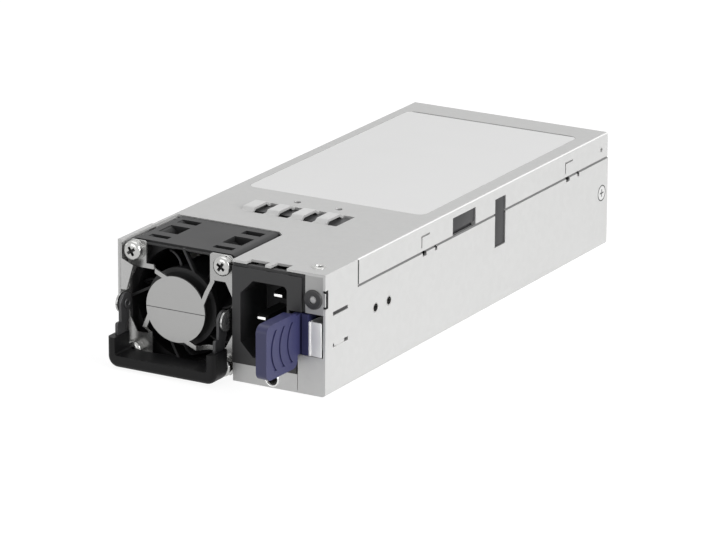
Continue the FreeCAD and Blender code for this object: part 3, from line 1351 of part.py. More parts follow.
def semiconductors():
    """Flat packages screwed to the heatsinks, each on three leads."""
    x = from_left("sink_side+sink_thick")
    spots = {
        "power_transistors": [("sink_front", "0.1*package_wide"), ("sink_front", "0.1*package_wide+package_pitch"),
                              ("rear_sink_front", "0.4*package_wide")],
    }
    for label, places in spots.items():
        parts = []
        for index, (start, shift) in enumerate(places, start=1):
            y = from_front(f"{start}+{shift}")
            lift = f"{BOARD_TOP}+package_thick"
            case = box(f"{label}_case_{index}", (x, y, lift), ("package_thick", "package_wide", "package_high"))
            leads = [box(f"{label}_lead_{index}_{pin}", (f"{x}+package_thick/2", f"{y}+package_wide*{pin}/4-package_lead/2",
                         BOARD_TOP), ("package_lead/2", "package_lead", f"{lift}-{BOARD_TOP}+skin/2")) for pin in (1, 2, 3)]
            parts.append(fuse(f"{label}_{index}", case, *leads))
        keep(group(label + "_set", *parts), label)
    rectifier = box("rectifier", (x, from_front("sink_front+sink_long-0.7*package_wide"), BOARD_TOP),
                    ("bridge_box_wide", "0.6*package_wide", "package_high"))
    keep(rectifier, "bridge_rectifier")


def board_blocks():
    """Block-shaped parts: relay, line capacitors, resonant choke, fan header and control board."""
    relay = box("relay_case", (f"{BOARD_HALF}-relay_wide-skin", from_front("sink_front+sink_long+skin"), BOARD_TOP),
                ("relay_wide", "relay_long", "relay_high"))
    keep(relay, "relay")
    first = box("line_capacitor_1", (f"{BOARD_HALF}-film_cap_wide-skin", from_front("film_front+8"), BOARD_TOP),
                ("film_cap_wide", "film_cap_long", "film_cap_high"))
    second = box("line_capacitor_2", (f"-{BOARD_HALF}+8", from_front("board_front+skin"), BOARD_TOP),
                 ("film_cap_long", "film_cap_wide", "film_cap_high"))
    keep(group("line_capacitors", first, second), "x_capacitors")
    discs = []
    for index in (0, 1):
        at = (f"-{BOARD_HALF}+10.5+film_cap_long+{index}*(disc_cap_thick+skin)",
              from_front("board_front+2*skin+disc_cap_radius"), f"{BOARD_TOP}+disc_cap_radius")
        discs.append(rod(f"disc_capacitor_{index + 1}", "X", at, "disc_cap_radius", "disc_cap_thick"))
    keep(group("disc_capacitors", *discs), "y_capacitors")
    base = new_body("resonant_choke", (from_left("choke_side"), from_front("choke_front"), BOARD_TOP))
    pad(base, "choke_block", "XY", "0", "choke_high",
        [rectangle("-choke_wide/2", "choke_wide/2", "0", "choke_wide", "socket_corner")])
    keep(base, "resonant_choke")


def build_all():
    """Make every piece of the assembly."""
    chassis_base()
    top_cover()
    label_blank()
    rear_panel()
    rear_screws()
    insulator_sheet()
    fan_frame()
    fan_impeller()
    fan_motor()
    fan_guard()
    fan_fasteners()
    handle_arm("handle_arm_left", "left")
    handle_arm("handle_arm_right", "right")
    handle_grip()
    handle_pins()
    latch_tab()
    latch_leaf()
    latch_anchor()
    inlet_housing()
    inlet_blades()
    status_light()
    main_board()
    edge_contacts()
    board_mounting()
    bulk_capacitor()
    ring_choke("pfc_choke", "pfc_side", "pfc_front", "pfc_radius", "pfc_tube")
    ring_choke("emi_choke", "emi_side", "emi_front", "emi_radius", "emi_tube")
    transformer()
    heatsink("primary_heatsink", "sink_front", "sink_long")
    heatsink("rear_heatsink", "rear_sink_front", "rear_sink_long")
    semiconductors()
    board_blocks()


def check_and_write():
    """Stop on any failed object; otherwise write one STEP file for each piece."""
    doc.recompute()
    failed = [item.Name for item in doc.Objects if {"Invalid", "Error"} & set(item.State)]
    if failed:
        raise RuntimeError(f"failed objects: {failed}")
    for piece in nodes:
        if piece.Shape.isNull() or not piece.Shape.isValid():
            raise RuntimeError(f"bad shape: {piece.Label}")
    os.makedirs("parts", exist_ok=True)
    for piece in nodes:
        piece.Shape.exportStep(f"parts/{piece.Label}.step")
        print(f"{piece.Label}: {len(piece.Shape.Solids)} solid(s), {piece.Shape.Volume:.1f} mm3")


build_all()
check_and_write()
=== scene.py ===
# Hot-swap server power supply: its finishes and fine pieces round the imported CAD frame.
# Metres, in the CAD's frame: X to the right, Y to the back, Z up, and the front looks along -Y.
import math

import bpy
from mathutils import Matrix, Vector


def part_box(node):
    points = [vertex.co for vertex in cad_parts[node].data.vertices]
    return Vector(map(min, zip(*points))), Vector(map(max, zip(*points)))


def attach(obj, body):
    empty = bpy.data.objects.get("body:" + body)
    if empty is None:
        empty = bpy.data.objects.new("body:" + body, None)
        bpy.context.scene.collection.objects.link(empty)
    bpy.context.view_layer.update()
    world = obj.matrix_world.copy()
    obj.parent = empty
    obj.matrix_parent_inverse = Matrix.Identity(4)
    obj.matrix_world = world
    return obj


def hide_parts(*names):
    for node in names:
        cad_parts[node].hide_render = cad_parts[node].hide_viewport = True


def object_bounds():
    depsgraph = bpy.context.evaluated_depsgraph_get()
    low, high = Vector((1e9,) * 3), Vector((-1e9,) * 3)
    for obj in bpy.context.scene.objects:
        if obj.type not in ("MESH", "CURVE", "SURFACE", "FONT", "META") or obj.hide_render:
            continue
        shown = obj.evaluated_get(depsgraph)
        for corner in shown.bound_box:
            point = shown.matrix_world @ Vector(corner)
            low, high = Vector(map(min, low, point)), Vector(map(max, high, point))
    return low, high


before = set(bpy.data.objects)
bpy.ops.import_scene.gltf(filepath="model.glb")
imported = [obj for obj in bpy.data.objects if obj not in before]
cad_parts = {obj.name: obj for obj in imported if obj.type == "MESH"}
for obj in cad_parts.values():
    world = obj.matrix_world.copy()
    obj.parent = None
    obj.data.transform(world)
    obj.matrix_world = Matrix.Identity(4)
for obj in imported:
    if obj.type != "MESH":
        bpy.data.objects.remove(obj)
cad_box = [list(corner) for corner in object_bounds()]

# ---------------------------------------------------------------- camera
# A long lens on a tripod, in front of the inlet side and a little above the case.
# It is level to within a third of a degree, with no shift and nothing out of focus.
TURN, DOWN, ROLL = math.radians(29.867), math.radians(17.288), math.radians(0.277)
optics = bpy.data.cameras.new("camera")
optics.sensor_width = 36.0
optics.lens = 242.0
optics.clip_end = 20.0
camera = bpy.data.objects.new("camera", optics)
stand = Matrix.Translation((0.72695, -1.2750, 0.4669))
tilt = Matrix.Rotation(math.pi / 2 - DOWN, 4, "X")
aim = Matrix.Rotation(TURN, 4, "Z") @ tilt @ Matrix.Rotation(ROLL, 4, "Z")
camera.matrix_world = stand @ aim
bpy.context.collection.objects.link(camera)
bpy.context.scene.camera = camera
bpy.context.scene.view_settings.view_transform = "Standard"

# ---------------------------------------------------------------- light
# Three soft boxes aim at the case: the key on its right side, a wide one overhead and a weak
# one in front. The room itself is white where it is seen or mirrored, and dim where it only
# fills the shadows.
ROOM_FILL = 0.18
for name, place, wide, power in (
    ("key_box", (1.55, -0.2, 0.65), 1.1, 28.0),
    ("top_box", (-0.2, 0.3, 1.6), 1.4, 7.2),
    ("front_box", (-0.5, -1.7, 0.5), 0.9, 4.5),
):
    lamp = bpy.data.lights.new(name, "AREA")
    lamp.shape = "SQUARE"
    lamp.size = wide
    lamp.energy = power
    soft_box = bpy.data.objects.new(name, lamp)
    soft_box.location = place
    soft_box.rotation_euler = (-Vector(place)).to_track_quat("-Z", "Y").to_euler()
    bpy.context.collection.objects.link(soft_box)

room = bpy.data.worlds.new("white_room")
room.use_nodes = True
bpy.context.scene.world = room
nodes, links = room.node_tree.nodes, room.node_tree.links
rays = nodes.new("ShaderNodeLightPath")
shown = rays.outputs["Is Camera Ray"]
for kind in ("Is Glossy Ray", "Is Transmission Ray"):
    either = nodes.new("ShaderNodeMath")
    either.operation = "MAXIMUM"
    links.new(shown, either.inputs[0])
    links.new(rays.outputs[kind], either.inputs[1])
    shown = either.outputs[0]
strength = nodes.new("ShaderNodeMapRange")
strength.inputs["To Min"].default_value = ROOM_FILL
strength.inputs["To Max"].default_value = 1.0
links.new(shown, strength.inputs["Value"])
nodes["Background"].inputs["Color"].default_value = (1, 1, 1, 1)
links.new(strength.outputs[0], nodes["Background"].inputs["Strength"])


# ---------------------------------------------------------------- floor
# A wide sheet of white board. It shows as the white of the room, and keeps a part of the
# shadow that the case throws on it. The two classes make its paint and every later finish.
class Term:
    """A shader socket that can stand in a sum or a product, as a number does."""

    def __init__(self, finish, socket):
        self.finish = finish
        self.socket = socket

    def worked(self, operation, first, second):
        return self.finish.node("Math", {"operation": operation}, {0: first, 1: second})

    def __add__(self, other):
        return self.worked("ADD", self, other)

    __radd__ = __add__

    def __mul__(self, other):
        return self.worked("MULTIPLY", self, other)

    __rmul__ = __mul__

    def __sub__(self, other):
        return self.worked("SUBTRACT", self, other)

    def __rsub__(self, other):
        return self.worked("SUBTRACT", other, self)


class Finish:
    """The material of one kind of surface, laid out on the piece's own coordinates in metres."""

    def __init__(self, name):
        self.material = bpy.data.materials.new(name)
        self.material.use_nodes = True
        self.tree = self.material.node_tree
        self.shader = self.tree.nodes["Principled BSDF"]
        self.place = self.node("TexCoord", {}, {}, "Object")

    def feed(self, inputs, sockets):
        """Give input sockets their values or links."""
        for name, value in sockets.items():
            if isinstance(value, Term):
                self.tree.links.new(value.socket, inputs[name])
            else:
                inputs[name].default_value = value

    def node(self, kind, settings, sockets, output=0):
        """Add a node: its settings are made first, then its sockets are fed."""
        made = self.tree.nodes.new("ShaderNode" + kind)
        for name, setting in settings.items():
            setattr(made, name, setting)
        self.feed(made.inputs, sockets)
        return Term(self, made.outputs[output])

    def along(self, axis):
        """The place along X, Y or Z."""
        return self.node("SeparateXYZ", {}, {0: self.place}, "XYZ".index(axis))

    def near(self, value, middle, reach):
        """1 where the value is within reach of the middle, and 0 elsewhere."""
        return self.node("Math", {"operation": "COMPARE"}, {0: value, 1: middle, 2: reach})

    def past(self, value, limit):
        """1 where the value is greater than the limit, and 0 elsewhere."""
        return self.node("Math", {"operation": "GREATER_THAN"}, {0: value, 1: limit})

    def noise(self, size, detail=2.0, stretch=(1, 1, 1)):
        """Cloudy variation from 0 to 1 with lumps of about that size."""
        scale = [part / size for part in stretch]
        at = self.node("Mapping", {}, {"Vector": self.place, "Scale": scale})
        return self.node("TexNoise", {}, {"Vector": at, "Scale": 1.0, "Detail": detail}, "Fac")

    def between(self, share, low, high):
        """A colour between two tones, where the first may be a varied colour already."""
        low = low if isinstance(low, Term) else (*low, 1)
        return self.node("Mix", {"data_type": "RGBA"}, {0: share, 6: low, 7: (*high, 1)}, 2)

    def relief(self, height, depth):
        """A surface that stands up by a depth where the height is 1."""
        return self.node("Bump", {}, {"Height": height, "Distance": depth, "Strength": 1.0})

    def surface(self, sockets):
        """Feed the shader itself, which makes the material complete."""
        self.feed(self.shader.inputs, sockets)
        return self.material


SHADOW_KEPT, BOARD_GLOW, BOARD_GAP = 0.25, 1.2, 0.0002
bpy.ops.mesh.primitive_plane_add(size=8.0, location=(0, 0, cad_box[0][2] - BOARD_GAP))
floor = bpy.context.object
floor.name = "floor"
board = Finish("floor_board")
board.surface({
    "Base Color": board.between(board.noise(0.004), (0.86, 0.86, 0.86), (0.9, 0.9, 0.9)),
    "Roughness": 0.9,
})
paint = Term(board, board.shader.outputs[0])
glow = board.node("Emission", {}, {"Strength": BOARD_GLOW})
watched = board.node("LightPath", {}, {}, "Is Camera Ray")
for kind in ("Is Glossy Ray", "Is Transmission Ray"):
    watched = watched + board.node("LightPath", {}, {}, kind)
mixed = board.node("MixShader", {}, {0: watched * (1 - SHADOW_KEPT), 1: paint, 2: glow})
board.feed(board.tree.nodes["Material Output"].inputs, {"Surface": mixed})
floor.data.materials.append(board.material)


# ---------------------------------------------------------------- case
# Tray, lid and back panel are zinc-plated sheet steel, cut, perforated and folded.
# The plating is satin, with faint cells, rolling lines along the case and softer patches.
CASE_FRONT = -0.0925
LEFT_WALL, RIGHT_WALL = cad_box[0][0], cad_box[1][0]
CASE_TONE, CASE_ROUGHNESS = (0.56, 0.56, 0.555), 0.42


def plated_sheet(name, tone, roughness, metal=0.35, painted_shade=None, shade_tone=0.0):
    """Zinc-plated sheet: faint crystal cells, rolling lines and a little wear in the shine.

    A function given for the painted shade gives its share at each place, in a grey tone.
    """
    finish = Finish(name)
    cells = finish.node("TexVoronoi", {}, {"Vector": finish.place, "Scale": 520.0}, "Color")
    cell = finish.node("SeparateColor", {}, {"Color": cells}, 0)
    cloud = finish.noise(0.03)
    rolled = finish.noise(0.0011, 4.0, (6.0, 0.25, 6.0))
    dark = [part * 0.955 for part in tone]
    light = [min(part * 1.03, 1.0) for part in tone]
    colour = finish.between(0.35 * cell + 0.35 * cloud + 0.3 * rolled, dark, light)
    if painted_shade:
        colour = finish.between(painted_shade(finish), colour, (shade_tone, shade_tone, shade_tone))
    return finish.surface({
        "Base Color": colour,
        "Metallic": metal,
        "Roughness": roughness + 0.08 * (cloud - 0.5) + 0.06 * (rolled - 0.5),
        "Normal": finish.relief(0.6 * rolled + 0.4 * cloud, 0.00001),
    })


def dress(material, *names):
    """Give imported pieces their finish."""
    for name in names:
        for material_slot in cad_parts[name].material_slots:
            material_slot.material = material


def pick(piece):
    """Select one piece alone, ready for the next tool."""
    bpy.ops.object.select_all(action="DESELECT")
    piece.select_set(True)
    bpy.context.view_layer.objects.active = piece


def soften(piece, radius, angle=40.0, segments=2, edge=None):
    """Round a piece's sharp edges and shade the rest smooth. The roundings may take another
    material, which paints a highlight on them.
    """
    pick(piece)
    rounding = piece.modifiers.new("rounding", "BEVEL")
    rounding.limit_method = "ANGLE"
    rounding.angle_limit = math.radians(angle)
    rounding.width = radius
    rounding.segments = segments
    if edge:
        piece.data.materials.append(edge)
        rounding.material = len(piece.data.materials) - 1
    bpy.ops.object.modifier_apply(modifier=rounding.name)
    bpy.ops.object.shade_smooth_by_angle(angle=math.radians(angle))
    return piece


def eased(node, body, radius, segments, edge=None):
    """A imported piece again, with the small radius that its tool leaves on each edge.

    Its own form is copied, its facets are joined, and its sharp edges are rounded.
    """
    piece = bpy.data.objects.new(node + "_eased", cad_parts[node].data.copy())
    bpy.context.collection.objects.link(piece)
    pick(piece)
    bpy.ops.object.mode_set(mode="EDIT")
    bpy.ops.mesh.select_all(action="SELECT")
    bpy.ops.mesh.remove_doubles(threshold=0.000002)
    bpy.ops.mesh.dissolve_limited(angle_limit=math.radians(1.0))
    bpy.ops.mesh.normals_make_consistent(inside=False)
    bpy.ops.object.mode_set(mode="OBJECT")
    soften(piece, radius, 38.0, segments, edge)
    flatness = piece.modifiers.new("flatness", "WEIGHTED_NORMAL")
    flatness.keep_sharp = True
    flatness.weight = 100
    bpy.ops.object.modifier_apply(modifier=flatness.name)
    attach(piece, body)
    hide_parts(node)
    return piece


case_steel = plated_sheet("case_steel", CASE_TONE, CASE_ROUGHNESS)
dress(case_steel, "rear_panel")
# Rounded edges and a few small faces take this bright finish as a painted highlight.
edge_highlight = plated_sheet("edge_highlight", (0.93, 0.93, 0.92), 0.25, 0.5)


# ---------------------------------------------------------------- tray
# The tray is folded from one sheet. Its walls step in behind the lid's flange, and that step is
# painted dark as shade.
def step_painted_shade(finish):
    """Painted shade on the step in the tray's walls behind the lid's flange, and on the rims cut in
    it.
    """
    outward = finish.node("Math", {"operation": "ABSOLUTE"}, {0: finish.along("X")})
    step = finish.near(outward, RIGHT_WALL - 0.00045, 0.00038)
    behind_front = finish.past(finish.along("Y"), CASE_FRONT + 0.0165)
    beside_flange = finish.past(finish.along("Z"), 0.0290)
    return 0.7 * (step * behind_front * beside_flange)


tray_steel = plated_sheet("tray_steel", CASE_TONE, CASE_ROUGHNESS, painted_shade=step_painted_shade, shade_tone=0.05)
dress(tray_steel, "chassis_base")
eased("chassis_base", "supply", 0.00014, 2, edge_highlight)


# ---------------------------------------------------------------- side screws and rivets
# Board screws and tubular rivets are of bright-plated steel. The countersunk heads in the side
# walls are bright too, with a dark ring painted as shade where they sit in the wall and a cross
# painted dark as the shade in its recess.
SUNK_RIM, CROSS_HALF_WIDTH, CROSS_HALF_LENGTH = 0.0003, 0.00024, 0.0013
screw_steel = plated_sheet("screw_steel", (0.5, 0.5, 0.49), 0.16, 0.9)
dress(screw_steel, "latch_rivets", "board_screws")
sunk_low, sunk_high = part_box("rear_screws")
sunk_head = Finish("sunk_head")
turned_grain = sunk_head.noise(0.0004, 3.0)
across = sunk_head.along("Y") - (sunk_low.y + sunk_high.y) / 2
upward = sunk_head.along("Z") - (sunk_low.z + sunk_high.z) / 2
radius = sunk_head.node("Math", {"operation": "SQRT"}, {0: across * across + upward * upward})
painted_shade_marks = sunk_head.near(radius, (sunk_high.z - sunk_low.z) / 2 - 0.0001, SUNK_RIM)
for side, length in ((across, upward), (upward, across)):
    thin = sunk_head.near(side, 0.0, CROSS_HALF_WIDTH)
    painted_shade_marks = painted_shade_marks + thin * sunk_head.near(length, 0.0, CROSS_HALF_LENGTH)
painted_shade_marks = sunk_head.node("Math", {"operation": "MINIMUM"}, {0: painted_shade_marks, 1: 1.0})
bright = sunk_head.between(turned_grain, (0.62, 0.62, 0.615), (0.68, 0.68, 0.675))
sunk_head.surface({
    "Base Color": sunk_head.between(painted_shade_marks, bright, (0.04, 0.04, 0.04)),
    "Metallic": 0.4,
    "Roughness": 0.3 + 0.1 * turned_grain,
    "Normal": sunk_head.relief(turned_grain, 0.000005),
})
dress(sunk_head.material, "rear_screws")


# ---------------------------------------------------------------- label
# A blank polyester label with a fine matt coating, stuck in the shallow recess of the lid.
# A thin shadow lies along its back edge.
EDGE_SHADOW = 0.0005
label = Finish("label_film")
fibre = label.noise(0.0004, 4.0)
weave = 0.5 * fibre + 0.5 * label.noise(0.02)
paper = label.between(weave, (0.895, 0.895, 0.89), (0.94, 0.94, 0.94))
shadow = label.past(label.along("Y"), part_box("label_blank")[1].y - EDGE_SHADOW)
label.surface({
    "Base Color": label.between(shadow, paper, (0.06, 0.06, 0.06)),
    "Roughness": 0.55 + 0.1 * fibre,
    "Normal": label.relief(fibre, 0.000006),
})
dress(label.material, "label_blank")


# ---------------------------------------------------------------- insulator
# A folded film of grey flame-proof plastic lines the tray. It is die-cut from sheet and creased
# along its bends, and it has a faint matt grain.
film = Finish("film_grey")
grain = film.noise(0.0003)
film.surface({
    "Base Color": film.between(film.noise(0.008), (0.015, 0.015, 0.016), (0.024, 0.024, 0.0255)),
    "Roughness": 0.4 + 0.15 * grain,
    "Normal": film.relief(grain, 0.000008),
})
dress(film.material, "insulator_sheet")


# ---------------------------------------------------------------- inlet, light and tab
# The inlet's housing, the light's bezel and lens and the latch's tab are moulded plastics. Each
# has its own tone and a fine spark-eroded grain.
GRAIN_SIZE, GRAIN_DEPTH, FLOW_SIZE = 0.00035, 0.000012, 0.012


def moulding(name, tone, roughness, coat=0.0, shine=0.5):
    """Moulded plastic: a fine grain, with slow changes in tone and shine."""
    finish = Finish(name)
    grain = finish.noise(GRAIN_SIZE)
    flow = finish.noise(FLOW_SIZE, 3.0)
    dark = [part * 0.86 for part in tone]
    light = [min(part * 1.14, 1.0) for part in tone]
    return finish.surface({
        "Base Color": finish.between(0.4 * grain + 0.6 * flow, dark, light),
        "Roughness": roughness + 0.1 * (flow - 0.5) + 0.08 * (grain - 0.5),
        "Normal": finish.relief(grain, GRAIN_DEPTH),
        "Specular IOR Level": shine,
        "Coat Weight": coat,
    })


dress(moulding("inlet_black", (0.022, 0.022, 0.023), 0.5), "inlet_housing")
eased("inlet_housing", "supply", 0.00025, 2)
dress(moulding("bezel_black", (0.036, 0.036, 0.0375), 0.35), "led_bezel")
eased("led_bezel", "supply", 0.0002, 3)
dress(moulding("lens_clear", (0.5, 0.5, 0.5), 0.2, coat=0.6), "led_lens")
dress(moulding("tab_violet", (0.03, 0.031, 0.095), 0.45), "latch_tab")
eased("latch_tab", "latch", 0.0008, 5)


# ---------------------------------------------------------------- handle
# A moulded black grip joins two arms stamped from blackened steel. The arms hang on pins beside
# the fan.
dress(moulding("grip_black", (0.006, 0.006, 0.0065), 0.48, shine=0.2), "handle_grip")
eased("handle_grip", "handle", 0.0005, 4)
arm_steel = plated_sheet("arm_steel", (0.06, 0.06, 0.062), 0.34)
for arm in ("handle_arm_left", "handle_arm_right"):
    dress(arm_steel, arm)
    eased(arm, "handle", 0.0002, 3)


# ---------------------------------------------------------------- fan frame
# The fan's frame is one moulding of black plastic. Its colour is painted darker inside its shell
# and behind its front face, as shade.
SHELL, FACE = 0.0006, 0.0004
frame_low, frame_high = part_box("fan_frame")
fan_x, fan_z = (frame_low.x + frame_high.x) / 2, (frame_low.z + frame_high.z) / 2
inner_half = (frame_high.x - frame_low.x) / 2 - SHELL
fan_black = Finish("fan_black")
grain = fan_black.noise(GRAIN_SIZE)
flow = fan_black.noise(FLOW_SIZE, 3.0)
# The inside of the shell is painted darker, as shade.
inside = fan_black.near(fan_black.along("X"), fan_x, inner_half)
inside = inside * fan_black.near(fan_black.along("Z"), fan_z, inner_half)
inside = inside * fan_black.past(fan_black.along("Y"), frame_low.y + FACE)
outer = fan_black.between(0.4 * grain + 0.6 * flow, (0.017, 0.017, 0.0177), (0.023, 0.023, 0.024))
fan_black.surface({
    "Base Color": fan_black.between(inside, outer, (0.009, 0.009, 0.0095)),
    "Roughness": 0.5 + 0.1 * (flow - 0.5) + 0.1 * inside,
    "Specular IOR Level": 0.4,
    "Normal": fan_black.relief(grain, GRAIN_DEPTH),
})
dress(fan_black.material, "fan_frame")
eased("fan_frame", "supply", 0.0002, 2)


# ---------------------------------------------------------------- fan guard and shaft
# Stamped and ground steel, tumbled and bright. The rolling lines of the guard follow its
# strips, and a groove is pressed across its disc; the groove's line is painted dark as shade.
GROOVE_DROP, GROOVE_HALF_WIDTH = 0.0003, 0.00011
guard_steel = plated_sheet("guard_steel", (0.45, 0.45, 0.445), 0.24, 0.85)
dress(guard_steel, "latch_anchor")
guard_low, guard_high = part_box("fan_guard")
guard_face = Finish("guard_face")
rolled = guard_face.noise(0.0011, 4.0, (6.0, 6.0, 0.25))
cloud = guard_face.noise(0.02)
groove_height = (guard_low.z + guard_high.z) / 2 - GROOVE_DROP
# The groove's line is painted dark as the shade in it.
groove = guard_face.near(guard_face.along("Z"), groove_height, GROOVE_HALF_WIDTH)
clean = guard_face.between(0.5 * rolled + 0.5 * cloud, (0.375, 0.375, 0.37), (0.42, 0.42, 0.415))
guard_face.surface({
    "Base Color": guard_face.between(groove, clean, (0.1, 0.1, 0.1)),
    "Metallic": 0.85,
    "Roughness": 0.22 + 0.06 * cloud + 0.5 * groove,
    "Normal": guard_face.relief(rolled, 0.000006),
})
dress(guard_face.material, "fan_guard")
eased("fan_guard", "supply", 0.00013, 2)
dress(plated_sheet("shaft_steel", (0.6, 0.6, 0.6), 0.2), "fan_shaft", "fan_bearings")


# ---------------------------------------------------------------- board and its parts
# Green lacquered glass-fibre board with gold pads, on brass posts. The parts soldered to it are
# wound, moulded or canned, and each has the colour that is usual for its kind.
copper = plated_sheet("copper_wire", (0.65, 0.3, 0.14), 0.3)
dress(copper, "fan_stator", "pfc_choke", "emi_choke")
dress(moulding("board_green", (0.02, 0.09, 0.03), 0.35, coat=0.4), "main_board")
dress(plated_sheet("gold_pad", (0.85, 0.6, 0.25), 0.25), "edge_contacts")
dress(plated_sheet("post_brass", (0.7, 0.5, 0.22), 0.3), "board_standoffs")
dress(moulding("can_blue", (0.02, 0.03, 0.08), 0.3, coat=0.5), "bulk_capacitor")
dress(moulding("tape_yellow", (0.55, 0.4, 0.05), 0.4), "transformer_winding", "resonant_choke")
dress(moulding("ferrite", (0.04, 0.04, 0.042), 0.6), "transformer_core")
dress(plated_sheet("sink_aluminium", (0.7, 0.7, 0.7), 0.4), "primary_heatsink", "rear_heatsink")
dress(moulding("package_black", (0.02, 0.02, 0.02), 0.4), "power_transistors", "bridge_rectifier")
dress(moulding("relay_black", (0.02, 0.02, 0.022), 0.35), "relay")
dress(moulding("capacitor_yellow", (0.6, 0.5, 0.08), 0.4), "x_capacitors")
dress(moulding("capacitor_blue", (0.05, 0.15, 0.4), 0.35), "y_capacitors")


# ---------------------------------------------------------------- washers under the fan screws
# A flat washer and a split spring washer lie under each screw head, both of plated spring steel.
# They are turned from a rectangular section; the spring washer stays open and rises a little.
def coat(piece, *materials):
    """Give a made piece its finishes, in the order of its slots."""
    piece.data.materials.clear()
    for material in materials:
        piece.data.materials.append(material)


def turned(name, section, turn=math.tau, rise=0.0, steps=48, closed=True):
    """A ring or a cup: a closed or an open line of (radius, y) points turned about the Y axis."""
    points = [(radius, along, 0.0) for radius, along in section]
    edges = [(step, step + 1) for step in range(len(points) - 1)]
    if closed:
        edges.append((len(points) - 1, 0))
    mesh = bpy.data.meshes.new(name)
    mesh.from_pydata(points, edges, [])
    piece = bpy.data.objects.new(name, mesh)
    bpy.context.collection.objects.link(piece)
    pick(piece)
    lathe = piece.modifiers.new("lathe", "SCREW")
    lathe.axis = "Y"
    lathe.angle = turn
    lathe.screw_offset = rise
    lathe.steps = lathe.render_steps = steps
    lathe.use_merge_vertices = turn == math.tau
    lathe.merge_threshold = 0.000001
    bpy.ops.object.modifier_apply(modifier=lathe.name)
    bpy.ops.object.mode_set(mode="EDIT")
    bpy.ops.mesh.select_all(action="SELECT")
    bpy.ops.mesh.remove_doubles(threshold=0.000001)
    bpy.ops.mesh.fill_holes(sides=0)
    bpy.ops.mesh.select_all(action="SELECT")
    bpy.ops.mesh.normals_make_consistent(inside=False)
    bpy.ops.object.mode_set(mode="OBJECT")
    return piece


def placed(piece, places, turns):
    """Copies of a finished piece, each turned about Y and moved to its place, joined as one."""
    copies = []
    for place, turn in zip(places, turns):
        copy = bpy.data.objects.new(piece.name + "_copy", piece.data.copy())
        bpy.context.collection.objects.link(copy)
        copy.data.transform(Matrix.Translation(place) @ Matrix.Rotation(turn, 4, "Y"))
        copies.append(copy)
    name = piece.name
    bpy.data.objects.remove(piece)
    pick(copies[0])
    for copy in copies:
        copy.select_set(True)
    bpy.ops.object.join()
    copies[0].name = name
    return copies[0]


PACKED_HEAD, BORE, FLAT_RADIUS, SPRING_RADIUS = 0.0027, 0.0016, 0.0032, 0.0031
FLAT_THICK, SPLIT_RISE = 0.0005, 0.00012
head_low, head_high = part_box("fan_screws")
stack_low, stack_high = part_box("fan_washers")
corners = [(x, 0.0, z) for x in (head_low.x + PACKED_HEAD, head_high.x - PACKED_HEAD)
           for z in (head_low.z + PACKED_HEAD, head_high.z - PACKED_HEAD)]
flat_front = stack_high.y - FLAT_THICK
split_back = flat_front - SPLIT_RISE
flat = [(BORE, flat_front), (FLAT_RADIUS, flat_front), (FLAT_RADIUS, stack_high.y),
        (BORE, stack_high.y)]
spring = [(BORE, stack_low.y), (SPRING_RADIUS, stack_low.y), (SPRING_RADIUS, split_back),
          (BORE, split_back)]
flat_washer = soften(turned("flat_washer", flat), 0.00012)
spring_washer = soften(turned("spring_washer", spring, math.radians(347), SPLIT_RISE), 0.00008)
washers = placed(flat_washer, corners, [0.0] * len(corners))
springs = placed(spring_washer, corners, [0.6, 2.2, 4.0, 5.1])
washer_steel = plated_sheet("washer_steel", (0.42, 0.42, 0.41), 0.2, 0.9)
for piece in (washers, springs):
    coat(piece, washer_steel)
    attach(piece, "supply")
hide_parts("fan_washers")


# ---------------------------------------------------------------- fan screws
# Four cross-recess pan-head screws hold the guard on the fan's corners. The head is cold-headed,
# with a domed crown and a tapered cross, and is zinc plated. The faces inside the cross are painted
# dark as shade.
CROWN_RADIUS, SHANK, SHANK_TIP = 0.0031, 0.0015, 0.0011
CROSS_LENGTH, CROSS_DEPTH, CROSS_WIDTH, CROSS_REACH = 0.0045, 0.0022, 0.0011, 0.0022
crown = [(0.0, 0.0), (0.45, 0.0), (0.72, 0.06), (0.9, 0.2), (0.98, 0.4), (1.0, 0.62),
         (1.0, 0.96), (0.97, 1.0)]
head_tall = stack_low.y - head_low.y
outline = [(share * CROWN_RADIUS, head_low.y + deep * head_tall) for share, deep in crown]
outline += [(SHANK, stack_low.y), (SHANK, head_high.y - 0.0004), (SHANK_TIP, head_high.y),
            (0.0, head_high.y)]
screw = turned("fan_screw_heads", outline, steps=40, closed=False)
for turn in (0.0, math.pi / 2):
    bpy.ops.object.select_all(action="DESELECT")
    bpy.ops.mesh.primitive_cube_add(size=1.0, location=(0, head_low.y, 0))
    punch = bpy.context.object
    bpy.ops.object.mode_set(mode="EDIT")
    bpy.ops.mesh.select_all(action="SELECT")
    bpy.ops.transform.resize(value=(CROSS_LENGTH, CROSS_DEPTH, CROSS_WIDTH))
    bpy.ops.object.mode_set(mode="OBJECT")
    for corner in punch.data.vertices:
        if corner.co.y > 0:
            corner.co.x *= 0.4
            corner.co.z *= 0.7
    punch.data.transform(Matrix.Rotation(turn, 4, "Y"))
    pick(screw)
    recess = screw.modifiers.new("recess", "BOOLEAN")
    recess.operation = "DIFFERENCE"
    recess.solver = "EXACT"
    recess.object = punch
    bpy.ops.object.modifier_apply(modifier=recess.name)
    bpy.data.objects.remove(punch)
soften(screw, 0.00007, angle=32.0)
screws = placed(screw, corners, [0.35, 1.0, 0.12, 0.62])
recess_painted_shade = plated_sheet("recess_painted_shade", (0.03, 0.03, 0.03), 0.4, 0.8)
coat(screws, screw_steel, recess_painted_shade)
# Faces inside each cross are painted dark as shade.
for face in screws.data.polygons:
    middle = face.center
    off_axis = min(math.hypot(middle.x - x, middle.z - z) for x, y, z in corners)
    if off_axis < CROSS_REACH and middle.y > head_low.y + 0.0001:
        face.material_index = 1
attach(screws, "supply")
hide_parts("fan_screws")


